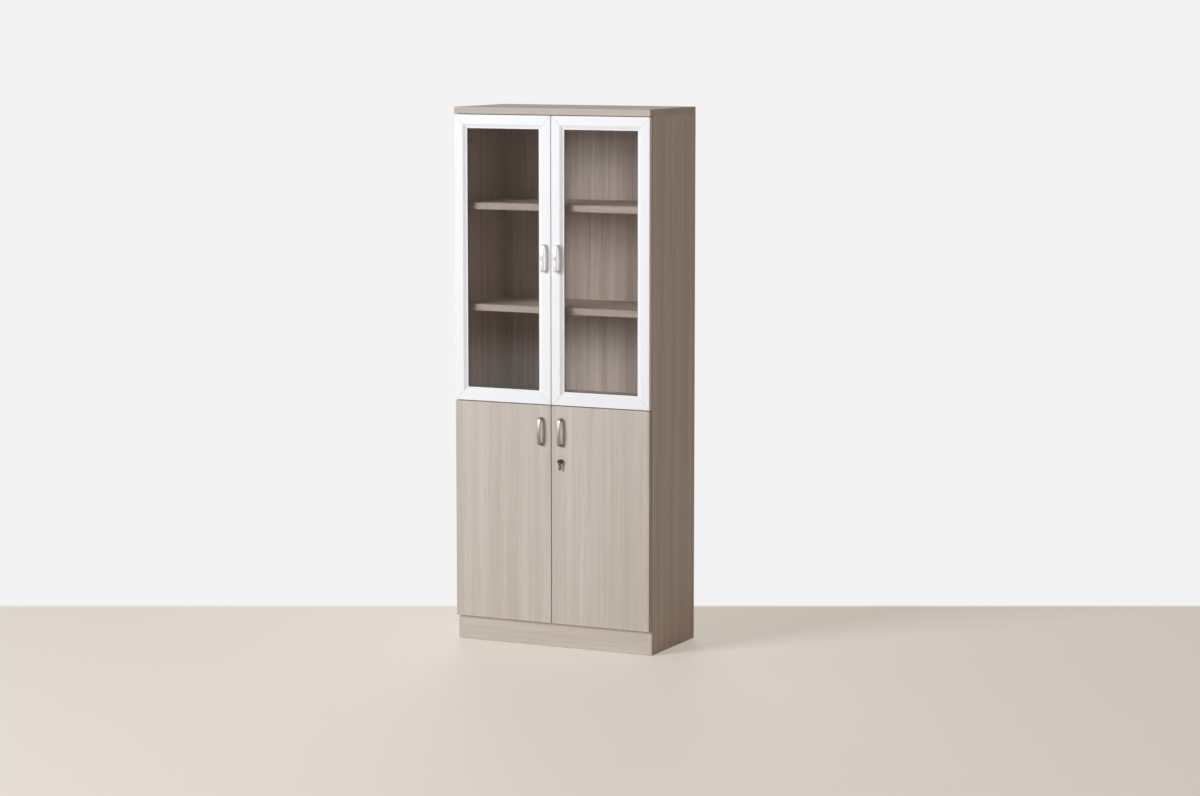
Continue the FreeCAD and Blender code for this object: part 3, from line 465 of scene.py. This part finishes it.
nickel_plate = metal("nickel_plated_steel", "C9C5BE", roughness=0.24, grit=2.0, strength=0.06,
                     spread=0.04)
dress(nickel_plate, "hinge_plates", "hinge_arms", "upper_right_hinge_links",
      "upper_left_hinge_links", "lower_right_hinge_links", "lower_left_hinge_links")
hinge_screws = bmesh.new()
for height in upper_hinge_heights + lower_hinge_heights:
    for side in (-1, 1):
        for offset in (-plate_screw_reach, plate_screw_reach):
            seat = (side * (inner_face - plate_screw_seat), plate_row, height + offset)
            cross_head(hinge_screws, *plate_screw, seat, (-side, 0, 0))
        for row, radius in arm_screws:
            seat = (side * (inner_face - arm_screw_seat), row, height)
            cross_head(hinge_screws, radius, arm_screw_height, seat, (-side, 0, 0))
piece("hinge_screw_heads", hinge_screws, zinc_plate, "carcass")

# ---------------------------------------- hinge cups
# Deep-drawn 35 mm cups, pressed into bores in the doors' backs, with a flange whose two
# ears carry the press-in plugs. Nickel plated, with a soft rolled mouth.
cup_centre = 377.0
door_back = -169.5
cup_profile = ((0.0, -11.0), (13.5, -11.0), (15.6, -10.2), (16.4, -8.0), (16.5, 0.2),
               (16.9, 0.9), (17.6, 1.2), (18.7, 1.15), (19.0, 0.8), (19.0, 0.0), (17.4, 0.0),
               (17.4, -11.9), (0.0, -11.9))     # radius, and height over the door's back
ear_outline = ((-15.5, 10.4), (-3.5, 16.6), (-3.5, 24.5), (-5.0, 26.0), (-14.0, 26.0),
               (-15.5, 24.5))   # across and up from the cup's centre
ear_thickness = 1.1
plug_head = (3.6, 0.6)          # radius and height
plug_across, plug_up = -9.5, 21.0


def hinge_cup(shape, height):
    """One cup on the right-hand side: a spun shell, two ears and two plug heads."""
    start = len(shape.verts)
    ring = [shape.verts.new((cup_centre + radius, door_back + rise, height))
            for radius, rise in cup_profile]
    edges = [shape.edges.new(pair) for pair in zip(ring, ring[1:])]
    bmesh.ops.spin(shape, geom=ring + edges, cent=(cup_centre, door_back, height),
                   axis=(0, 1, 0), angle=2 * math.pi, steps=56, use_merge=True)
    shape.verts.ensure_lookup_table()
    bmesh.ops.remove_doubles(shape, verts=shape.verts[start:], dist=0.001)
    for end in (-1, 1):
        corners = [shape.verts.new((cup_centre + across, door_back, height + end * up))
                   for across, up in ear_outline]
        sheet = shape.faces.new(corners)
        raised = bmesh.ops.extrude_face_region(shape, geom=[sheet])["geom"]
        bmesh.ops.translate(shape, verts=picked(raised, BMVert), vec=(0, ear_thickness, 0))
        seat = (cup_centre + plug_across, door_back + ear_thickness, height + end * plug_up)
        cross_head(shape, *plug_head, seat, (0, 1, 0))


for level, heights in (("upper", upper_hinge_heights), ("lower", lower_hinge_heights)):
    for side in ("right", "left"):
        cups = bmesh.new()
        for height in heights:
            hinge_cup(cups, height)
        if side == "left":
            bmesh.ops.scale(cups, vec=(-1, 1, 1), verts=cups.verts)
        piece(f"{level}_{side}_drawn_cups", cups, nickel_plate, f"{level}_{side}_door",
              [f"{level}_{side}_hinge_cups"])

# ---------------------------------------- glazed doors
# Upper doors: medium-density fibreboard profile wrapped in a smooth white foil, mitred at
# the corners. The foil is satin, with the faintest orange peel, and its cut edges show as a
# fine grey line at the mitres, drawn 1 mm wide so that it shows.
foil_white = "F4F4F3"
mitre_grey = "B4B2AE"
foil_smooth, foil_rough = 0.42, 0.52
peel_size = 4.0
peel_strength = 0.12
peel_depth = 0.0001             # metres
door_middle = {"X": 200.0, "Z": 1441.5}         # of the right-hand door
door_half = {"X": 198.5, "Z": 531.0}
line_core, line_edge = 0.0004, 0.0009           # from the mitre, metres

white_foil, foil_tree, foil_output = new_material("white_foil_wrapped_fibreboard")
foil_place = add(foil_tree, "ShaderNodeTexCoord")
foil_scale = add(foil_tree, "ShaderNodeMapping", [("Vector", foil_place.outputs["Object"]),
                                                  ("Scale", (1000 / peel_size,) * 3)])
peel = add(foil_tree, "ShaderNodeTexNoise", [("Vector", foil_scale.outputs[0]), ("Scale", 1.0),
                                             ("Detail", 1.0)])
foil_gloss = add(foil_tree, "ShaderNodeMapRange", [("Value", peel.outputs[0]),
                                                   ("To Min", foil_smooth),
                                                   ("To Max", foil_rough)])
foil_relief = add(foil_tree, "ShaderNodeBump", [("Height", peel.outputs[0]),
                                                ("Strength", peel_strength),
                                                ("Distance", peel_depth)])
foil_spot = add(foil_tree, "ShaderNodeSeparateXYZ", [("Vector", foil_place.outputs["Object"])])
from_edge = []
for way in ("X", "Z"):
    either_side = add(foil_tree, "ShaderNodeMath", [(0, foil_spot.outputs[way])],
                      operation="ABSOLUTE")
    off_middle = add(foil_tree, "ShaderNodeMath", [(0, either_side.outputs[0]),
                                                   (1, door_middle[way] / 1000)],
                     operation="SUBTRACT")
    spread = add(foil_tree, "ShaderNodeMath", [(0, off_middle.outputs[0])], operation="ABSOLUTE")
    inwards = add(foil_tree, "ShaderNodeMath", [(0, door_half[way] / 1000),
                                                (1, spread.outputs[0])], operation="SUBTRACT")
    from_edge.append(inwards.outputs[0])
off_mitre = add(foil_tree, "ShaderNodeMath", [(0, from_edge[0]), (1, from_edge[1])],
                operation="SUBTRACT")
mitre_gap = add(foil_tree, "ShaderNodeMath", [(0, off_mitre.outputs[0])], operation="ABSOLUTE")
joint_line = add(foil_tree, "ShaderNodeMapRange", [("Value", mitre_gap.outputs[0]),
                                                   ("From Min", line_core),
                                                   ("From Max", line_edge),
                                                   ("To Min", 1.0), ("To Max", 0.0)])
foil_colour = add(foil_tree, "ShaderNodeMix", [("Factor", joint_line.outputs[0]),
                                               ("A", linear(foil_white)),
                                               ("B", linear(mitre_grey))], data_type="RGBA")
foil_surface = add(foil_tree, "ShaderNodeBsdfPrincipled", [
    ("Base Color", foil_colour.outputs["Result"]), ("Roughness", foil_gloss.outputs[0]),
    ("Normal", foil_relief.outputs[0])])
foil_tree.links.new(foil_surface.outputs[0], foil_output.inputs["Surface"])

# Panes: 5 mm float glass with polished faces. Its light, faintly rosy grey tint and the tint of
# the lamplight that it lets in are painted shade, which makes the inside look dimmer than the
# doors. The panes lie in the rebate behind the frame's lip, held by soft white strips.
painted_shade_glass_tint = "CEC7C5"
painted_shade_lamplight_tint = "E0DFDD"         # tint of the lamplight that a pane lets in
glass_ior = 1.36                # lower than float glass, so that the plain room mirrors less

# The glass tints stand in as painted shade for the dim inside of the cabinet.
float_glass, glass_tree, glass_output = new_material("float_glass_with_painted_shade_tint")
pane = add(glass_tree, "ShaderNodeBsdfPrincipled", [("Base Color", linear(painted_shade_glass_tint)),
                                                    ("Roughness", 0.0), ("IOR", glass_ior),
                                                    ("Transmission Weight", 1.0)])
lamp_path = add(glass_tree, "ShaderNodeLightPath")
let_through = add(glass_tree, "ShaderNodeBsdfTransparent", [("Color", linear(painted_shade_lamplight_tint))])
pane_mix = add(glass_tree, "ShaderNodeMixShader", [(0, lamp_path.outputs["Is Shadow Ray"]),
                                                   (1, pane.outputs[0]),
                                                   (2, let_through.outputs[0])])
glass_tree.links.new(pane_mix.outputs[0], glass_output.inputs["Surface"])
white_strip = plastic("soft_white_glazing_strip", "DEDEDA", roughness=0.5, grit=1.2,
                      strength=0.2)
for side in ("right", "left"):
    for member in ("stile_hinge", "stile_meeting", "rail_top", "rail_bottom"):
        dress(white_foil, f"upper_{side}_{member}")
    dress(float_glass, f"upper_{side}_glass")
    dress(white_strip, f"upper_{side}_bead")

# A matt dark grey wedge gasket is pushed in from the front, between the pane and the lip.
opening_half = (148.5, 481.0)   # across and up
gasket_width = 2.4
gasket_front = -180.4
gasket_ease = 0.7
pane_front = -178.5
corner_angle = 1.0              # radians; edges that turn by more are eased

gasket_rubber = plastic("grey_gasket_rubber", "56534F", roughness=0.6, grit=1.0, strength=0.3)
for side, sign in (("right", 1), ("left", -1)):
    gasket = bmesh.new()
    bmesh.ops.create_grid(gasket, x_segments=1, y_segments=1, size=1.0,
                          matrix=Matrix.Rotation(math.pi / 2, 4, "X"))
    bmesh.ops.scale(gasket, vec=(opening_half[0], 1.0, opening_half[1]), verts=gasket.verts)
    ring = bmesh.ops.inset_region(gasket, faces=gasket.faces[:], thickness=gasket_width,
                                  use_boundary=True, use_even_offset=True)["faces"]
    bmesh.ops.delete(gasket, geom=[face for face in gasket.faces if face not in ring],
                     context="FACES_ONLY")
    wedge = bmesh.ops.extrude_face_region(gasket, geom=gasket.faces[:])["geom"]
    outer = picked(wedge, BMVert)
    bmesh.ops.translate(gasket, verts=outer, vec=(0, gasket_front - pane_front, 0))
    bmesh.ops.recalc_face_normals(gasket, faces=gasket.faces)
    front_rims = [edge for edge in gasket.edges if all(vert in outer for vert in edge.verts)
                  and edge.calc_face_angle(0.0) > corner_angle]
    ease(gasket, front_rims, gasket_ease)
    bmesh.ops.translate(gasket, verts=gasket.verts,
                        vec=(sign * door_middle["X"], pane_front, door_middle["Z"]))
    piece(f"upper_{side}_wedge_gasket", gasket, gasket_rubber, f"upper_{side}_door")

# ---------------------------------------- board doors
# Lower doors: melamine-faced chipboard as in the carcass, banded on four edges, grain
# upright, with the quieter streaks of the decor.
dress(upright_melamine, "lower_right_door", "lower_left_door")

# ---------------------------------------- bow handles
# Die-cast zinc straps on two 96 mm screws, slightly bowed, with rounded shoulders. The upper
# pair is polished chrome, which mirrors the room. The lower pair is satin nickel, brushed
# along the strap, warmer and duller.
front = -187.5                  # the doors' front
crown_reach = 25.0
strap_half_width = 7.0
strap_half_thickness = 2.5
leg_half_thickness = 4.0
leg_centre = 48.0
leg_zone = 10.0                 # what lies this near to the leg's centre, or further out, widens
leg_start = 18.0                # from this far out in front of the door
leg_run = 8.0                   # over this length
bow_radius = 205.0              # middle of the strap
shoulder = 6.0                  # middle of the bend into the leg
handle_screw = (4.0, 2.2)       # radius and height of the head
upper_handle = (26.5, 1451.5)   # centre, across and up
lower_handle = (41.0, 811.0)


def bow_handle(shape, x, z):
    """Half a handle: its section is spun along the bow and the shoulder, then mirrored."""
    flatness, roundness = 0.45, 0.7         # powers that square the section off
    crown = crown_reach - strap_half_thickness
    turn = math.asin((leg_centre - shoulder) / (bow_radius - shoulder))
    ring = bmesh.ops.create_circle(shape, segments=32, radius=1.0)["verts"]
    for vert in ring:
        wide = math.copysign(abs(vert.co.x) ** flatness, vert.co.x) * strap_half_width
        thick = math.copysign(abs(vert.co.y) ** roundness, vert.co.y) * strap_half_thickness
        vert.co = Vector((wide, thick - crown, 0.0))
    loop = list({edge for vert in ring for edge in vert.link_edges})
    centre = Vector((0, bow_radius - crown, 0))
    bow = bmesh.ops.spin(shape, geom=ring + loop, cent=centre, axis=(-1, 0, 0), angle=turn,
                         steps=14)
    end = centre + Matrix.Rotation(-turn, 3, "X") @ Vector((0, shoulder - bow_radius, 0))
    bend = bmesh.ops.spin(shape, geom=bow["geom_last"], cent=end, axis=(-1, 0, 0),
                          angle=math.pi / 2 - turn, steps=9)
    tip = picked(bend["geom_last"], BMEdge)
    leg = bmesh.ops.extrude_edge_only(shape, edges=tip)["geom"]
    for vert in picked(leg, BMVert):
        vert.co.y = 0.0
    bmesh.ops.contextual_create(shape, geom=[edge for edge in picked(leg, BMEdge)
                                             if edge.is_boundary])
    for vert in shape.verts:
        if vert.co.z > leg_centre - leg_zone:
            near = max(0.0, min(1.0, (vert.co.y + leg_start) / leg_run))
            near = near * near * (3 - 2 * near)
            wider = 1 + near * (leg_half_thickness / strap_half_thickness - 1)
            vert.co.z = leg_centre + (vert.co.z - leg_centre) * wider
    bmesh.ops.mirror(shape, geom=shape.verts[:] + shape.edges[:] + shape.faces[:], axis="Z",
                     merge_dist=0.01)
    bmesh.ops.translate(shape, vec=(x, front, z), verts=shape.verts)


polished_chrome = metal("polished_chrome", "EEEFF0", roughness=0.16, grit=3.0, strength=0.05,
                        spread=0.03)
satin_nickel = metal("satin_nickel", "988E84", roughness=0.43, grit=0.5, strength=0.3,
                     stretch=(1.0, 1.0, 0.08))
for level, (x, z), finish, slot_name in (
        ("upper", upper_handle, polished_chrome, "bright_chrome"),
        ("lower", lower_handle, satin_nickel, "satin_nickel")):
    for side, sign in (("right", 1), ("left", -1)):
        bow = bmesh.new()
        bow_handle(bow, sign * x, z)
        piece(f"{level}_{side}_bow", bow, finish, f"{level}_{side}_door",
              [f"{level}_{side}_handle"], smooth=50.0)
        screws = bmesh.new()
        for offset in (-leg_centre, leg_centre):
            cross_head(screws, *handle_screw, (sign * x, door_back, z + offset), (0, 1, 0))
        piece(f"{level}_{side}_bow_screws", screws, zinc_plate, f"{level}_{side}_door",
              [f"{level}_{side}_handle_screws"])

# ---------------------------------------- cylinder lock
# Die-cast cam lock in satin nickel, darker than the plated hinges: a thin round rosette on the
# right-hand door's face, the barrel through the board, a nut behind it. Its plug turns a
# zinc-plated steel tongue.
lock_x = 41.0
lock_z = 704.0
barrel_rear = -165.0
barrel_radius = 9.0
barrel_bore = 6.6
rosette_radius = 11.0
rosette_front = -189.0
lock_profile = ((barrel_bore, barrel_rear), (barrel_radius, barrel_rear), (barrel_radius, front),
                (rosette_radius, front), (rosette_radius, rosette_front + 0.6),
                (rosette_radius - 0.3, rosette_front + 0.2),
                (rosette_radius - 0.8, rosette_front), (barrel_bore, rosette_front))


def turned_part(shape, profile, steps, closed=True):
    """Spins a profile of radius and y positions round the lock's axis."""
    ring = [shape.verts.new((lock_x + radius, y, lock_z)) for radius, y in profile]
    pairs = list(zip(ring, ring[1:])) + ([(ring[-1], ring[0])] if closed else [])
    edges = [shape.edges.new(pair) for pair in pairs]
    bmesh.ops.spin(shape, geom=ring + edges, cent=(lock_x, 0, lock_z), axis=(0, 1, 0),
                   angle=2 * math.pi, steps=steps, use_merge=True)
    bmesh.ops.remove_doubles(shape, verts=shape.verts, dist=0.001)


lock_nickel = metal("satin_nickel_lock", "9A9187", roughness=0.42, grit=0.5, strength=0.2)
barrel = bmesh.new()
turned_part(barrel, lock_profile, steps=64)
piece("lock_barrel_and_rosette", barrel, lock_nickel, "lower_right_door",
      ["lock_body"])
dress(lock_nickel, "lock_plug")
dress(zinc_plate, "lock_nut", "lock_tongue", "tongue_screw")

# ---------------------------------------- folding key
# Nickel silver blade moulded into a round hub of dark brown nylon, matt and finely grained.
# The bow, moulded in the same nylon, swings on a steel pin in the hub's slot and hangs down
# when it isn't used.
hub_rear = -189.3
hub_front = -205.3
hub_radius = 7.8
hub_profile = ((0.0, hub_rear), (hub_radius, hub_rear), (hub_radius, hub_front + 0.9),
               (hub_radius - 0.25, hub_front + 0.25), (hub_radius - 0.9, hub_front),
               (0.0, hub_front))
slot_half = 4.2
slot_floor = -196.0
slot_roof = lock_z + 3.8
fold = -199.8                   # middle of the pin
bow_half = 4.0
bow_half_thickness = 2.5
bow_drop = 33.0
bow_neck = -1.0                 # the flat sides end here, under the pin's middle
bow_ease = 0.6
eye_half = 1.8
eye_low, eye_high = -26.2, -14.8
knuckle_radius = 3.2
snap = 0.02                     # a vertex this near to a plane lies in it

dark_nylon = plastic("dark_brown_nylon", "3E2A1B", roughness=0.52, grit=0.8, strength=0.25)
dress(lock_nickel, "key_blade")

hub = bmesh.new()
turned_part(hub, hub_profile, steps=48, closed=False)
for axis, value in ((0, lock_x - slot_half), (0, lock_x + slot_half), (1, slot_floor),
                    (2, slot_roof)):
    plane = Vector((0, 0, 0))
    plane[axis] = 1.0
    bmesh.ops.bisect_plane(hub, geom=hub.verts[:] + hub.edges[:] + hub.faces[:], dist=0.01,
                           plane_co=plane * value, plane_no=plane)
mouth = []
for face in hub.faces:
    middle = face.calc_center_median()
    if abs(middle.x - lock_x) < slot_half and middle.y < slot_floor and middle.z < slot_roof:
        mouth.append(face)
bmesh.ops.delete(hub, geom=mouth, context="FACES")


def open_edges(shape, axis, value):
    """Edges in a plane that still want a face."""
    return [edge for edge in shape.edges if len(edge.link_faces) < 2
            and all(abs(vert.co[axis] - value) < snap for vert in edge.verts)]


# The slot's roof, its two walls and its floor close the hub again.
roof = bmesh.ops.extrude_edge_only(hub, edges=open_edges(hub, 2, slot_roof))["geom"]
roof_back = picked(roof, BMVert)
for vert in roof_back:
    vert.co.y = slot_floor
for wall in (lock_x - slot_half, lock_x + slot_half):
    corner = min(roof_back, key=lambda vert: abs(vert.co.x - wall))
    ends = [vert for edge in open_edges(hub, 0, wall) for vert in edge.verts
            if abs(vert.co.y - slot_floor) < snap]
    hub.edges.new((corner, min(ends, key=lambda vert: vert.co.z)))
    bmesh.ops.contextual_create(hub, geom=open_edges(hub, 0, wall))
bmesh.ops.contextual_create(hub, geom=open_edges(hub, 1, slot_floor))
piece("key_hub_moulding", hub, dark_nylon, "key", ["key_hub"])

bow = bmesh.new()
outline = bmesh.ops.create_circle(bow, segments=28, radius=bow_half)["verts"]
eye = bmesh.ops.create_circle(bow, segments=28, radius=eye_half)["verts"]
for verts, low, high in ((outline, bow_half - bow_drop, bow_neck), (eye, eye_low, eye_high)):
    for vert in verts:
        across, up = vert.co.xy
        upper = up > snap
        if verts is outline and upper:      # the neck is square
            across = math.copysign(bow_half, across) if abs(across) > snap else across
            up = 0.0
        vert.co = Vector((across, 0.0, up + (high if upper else low)))
bmesh.ops.bridge_loops(bow, edges=bow.edges[:])
bmesh.ops.remove_doubles(bow, verts=bow.verts, dist=0.001)
thick = bmesh.ops.extrude_face_region(bow, geom=bow.faces[:])["geom"]
bmesh.ops.translate(bow, verts=picked(thick, BMVert), vec=(0, 2 * bow_half_thickness, 0))
bmesh.ops.recalc_face_normals(bow, faces=bow.faces)
corners = [edge for edge in bow.edges if len(edge.link_faces) == 2
           and edge.calc_face_angle() > corner_angle]
ease(bow, corners, bow_ease, clamp_overlap=True)
bmesh.ops.translate(bow, verts=bow.verts, vec=(lock_x, fold - bow_half_thickness, lock_z))
round_bar(bow, knuckle_radius, 2 * bow_half, (lock_x, fold, lock_z), "X", segments=36)
piece("key_bow_moulding", bow, dark_nylon, "key_grip", ["key_bow"])

# ---------------------------------------- bolt of the left-hand door
# Pressed steel plate with two guides and a round sliding rod with a thumb knob, zinc plated,
# held behind the door by two small domed screws.
latch_x = -22.0
rod_line = -159.5
rod_foot = 833.0
rod_top = 895.0
rod_radius = 2.5
rod_ease = 0.5
knob_height = 845.0
knob_parts = ((1.5, 0.0, 5.0), (2.0, 4.2, 7.0))     # neck and head: radius, start, end
plate_back = -167.5
latch_screw = (2.9, 1.2)        # radius and height of the head
latch_screw_heights = (855.0, 861.0)

dress(zinc_plate, "latch_body")
rod = bmesh.new()
round_bar(rod, rod_radius, rod_top - rod_foot, (latch_x, rod_line, (rod_top + rod_foot) / 2),
          "Z", segments=32)
for radius, start, end in knob_parts:
    round_bar(rod, radius, end - start, (latch_x, rod_line + (start + end) / 2, knob_height), "Y")
ease_ends(rod, rod_ease)
piece("latch_round_rod", rod, zinc_plate, "latch_bolt", ["latch_rod"])
latch_heads = bmesh.new()
for height in latch_screw_heights:
    cross_head(latch_heads, *latch_screw, (latch_x, plate_back, height), (0, 1, 0))
piece("latch_cross_screws", latch_heads, zinc_plate, "lower_left_door",
      ["latch_screws"])

# ---------------------------------------- room, lamps and camera
# A plain pale floor that keeps the cabinet's shadow and, behind it, turns into a pale backdrop.
# One large soft lamp stands in front, to the left, a weaker one behind, and the room fills in
# from all round.
turned_by = math.radians(25.73)
tilted_by = math.radians(6.97)
backdrop_line = 0.665           # metres behind the cabinet, square to the view
backdrop_blur = 0.02            # metres
floor_colour = "FAF1E6"
backdrop_colour = "F3F3F3"
room_colour = "F4D2BE"
room_strength = 0.20
floor_paleness = 0.38           # share of the floor's look that is its plain colour
floor_reach = 60.0              # metres

floor_material, floor_tree, floor_output = new_material("pale_floor")
floor_place = add(floor_tree, "ShaderNodeTexCoord")
squared = add(floor_tree, "ShaderNodeMapping", [("Vector", floor_place.outputs["Object"]),
                                                ("Rotation", (0, 0, -turned_by))])
apart = add(floor_tree, "ShaderNodeSeparateXYZ", [("Vector", squared.outputs[0])])
beyond = add(floor_tree, "ShaderNodeMapRange", [("Value", apart.outputs["Y"]),
                                                ("From Min", backdrop_line - backdrop_blur),
                                                ("From Max", backdrop_line + backdrop_blur)])


def seen_directly(tree):
    """1 for rays from the camera, and for those that it sends on by mirror or through glass."""
    path = add(tree, "ShaderNodeLightPath")
    mirrored = add(tree, "ShaderNodeMath", [(0, path.outputs["Is Camera Ray"]),
                                            (1, path.outputs["Is Glossy Ray"])],
                   operation="MAXIMUM")
    seen = add(tree, "ShaderNodeMath", [(0, mirrored.outputs[0]),
                                        (1, path.outputs["Is Transmission Ray"])],
               operation="MAXIMUM")
    return seen.outputs[0]


floor_seen = seen_directly(floor_tree)
paleness = add(floor_tree, "ShaderNodeMapRange", [("Value", beyond.outputs[0]),
                                                  ("To Min", floor_paleness)])
plain_share = add(floor_tree, "ShaderNodeMath", [(0, paleness.outputs[0]), (1, floor_seen)],
                  operation="MULTIPLY")
plain_colour = add(floor_tree, "ShaderNodeMix", [("Factor", beyond.outputs[0]),
                                                 ("A", linear(floor_colour)),
                                                 ("B", linear(backdrop_colour))],
                   data_type="RGBA")
floor_surface = add(floor_tree, "ShaderNodeBsdfPrincipled", [
    ("Base Color", linear(floor_colour)), ("Roughness", 0.7)])
plain_glow = add(floor_tree, "ShaderNodeEmission", [("Color", plain_colour.outputs["Result"]),
                                                    ("Strength", 1.0)])
floor_mix = add(floor_tree, "ShaderNodeMixShader", [(0, plain_share.outputs[0]),
                                                    (1, floor_surface.outputs[0]),
                                                    (2, plain_glow.outputs[0])])
floor_tree.links.new(floor_mix.outputs[0], floor_output.inputs["Surface"])
ground = bmesh.new()
bmesh.ops.create_grid(ground, x_segments=1, y_segments=1, size=floor_reach)
floor_mesh = bpy.data.meshes.new("pale_floor")
ground.to_mesh(floor_mesh)
ground.free()
floor_mesh.materials.append(floor_material)
floor = bpy.data.objects.new("pale_floor", floor_mesh)
bpy.context.scene.collection.objects.link(floor)

world = bpy.data.worlds.new("pale_room")
bpy.context.scene.world = world
world.use_nodes = True
room = world.node_tree
room.nodes.clear()
room_output = add(room, "ShaderNodeOutputWorld")
fill = add(room, "ShaderNodeBackground", [("Color", linear(room_colour)),
                                          ("Strength", room_strength)])
pale = add(room, "ShaderNodeBackground", [("Color", linear(backdrop_colour)),
                                          ("Strength", 1.0)])
room_mix = add(room, "ShaderNodeMixShader", [(0, seen_directly(room)), (1, fill.outputs[0]),
                                             (2, pale.outputs[0])])
room.links.new(room_mix.outputs[0], room_output.inputs["Surface"])


def soft_lamp(name, place, aim, width, height, watts, colour="FFFFFF"):
    """A rectangular area lamp that faces its aim."""
    data = bpy.data.lights.new(name, "AREA")
    data.shape = "RECTANGLE"
    data.size = width
    data.size_y = height
    data.energy = watts
    data.color = linear(colour)[:3]
    lamp = bpy.data.objects.new(name, data)
    lamp.location = place
    lamp.rotation_euler = (Vector(aim) - Vector(place)).to_track_quat("-Z", "Y").to_euler()
    bpy.context.scene.collection.objects.link(lamp)


soft_lamp("front_lamp", (-5.0, -8.8, 4.4), aim=(0, 0, 0.6), width=4.0, height=4.0, watts=908,
          colour="ECF5FF")
soft_lamp("rear_lamp", (-3.0, 5.5, 1.3), aim=(0, 0, 1.0), width=3.0, height=2.2, watts=100)

camera_data = bpy.data.cameras.new("camera")
camera_data.sensor_width = 36.0
camera_data.lens = 94.71
camera_data.clip_end = 200.0
camera = bpy.data.objects.new("camera", camera_data)
camera.location = (5.1726, -10.5063, 2.3472)
camera.rotation_euler = (math.pi / 2 - tilted_by, 0.0, turned_by)
bpy.context.scene.collection.objects.link(camera)
bpy.context.scene.camera = camera
bpy.context.scene.view_settings.view_transform = "Standard"
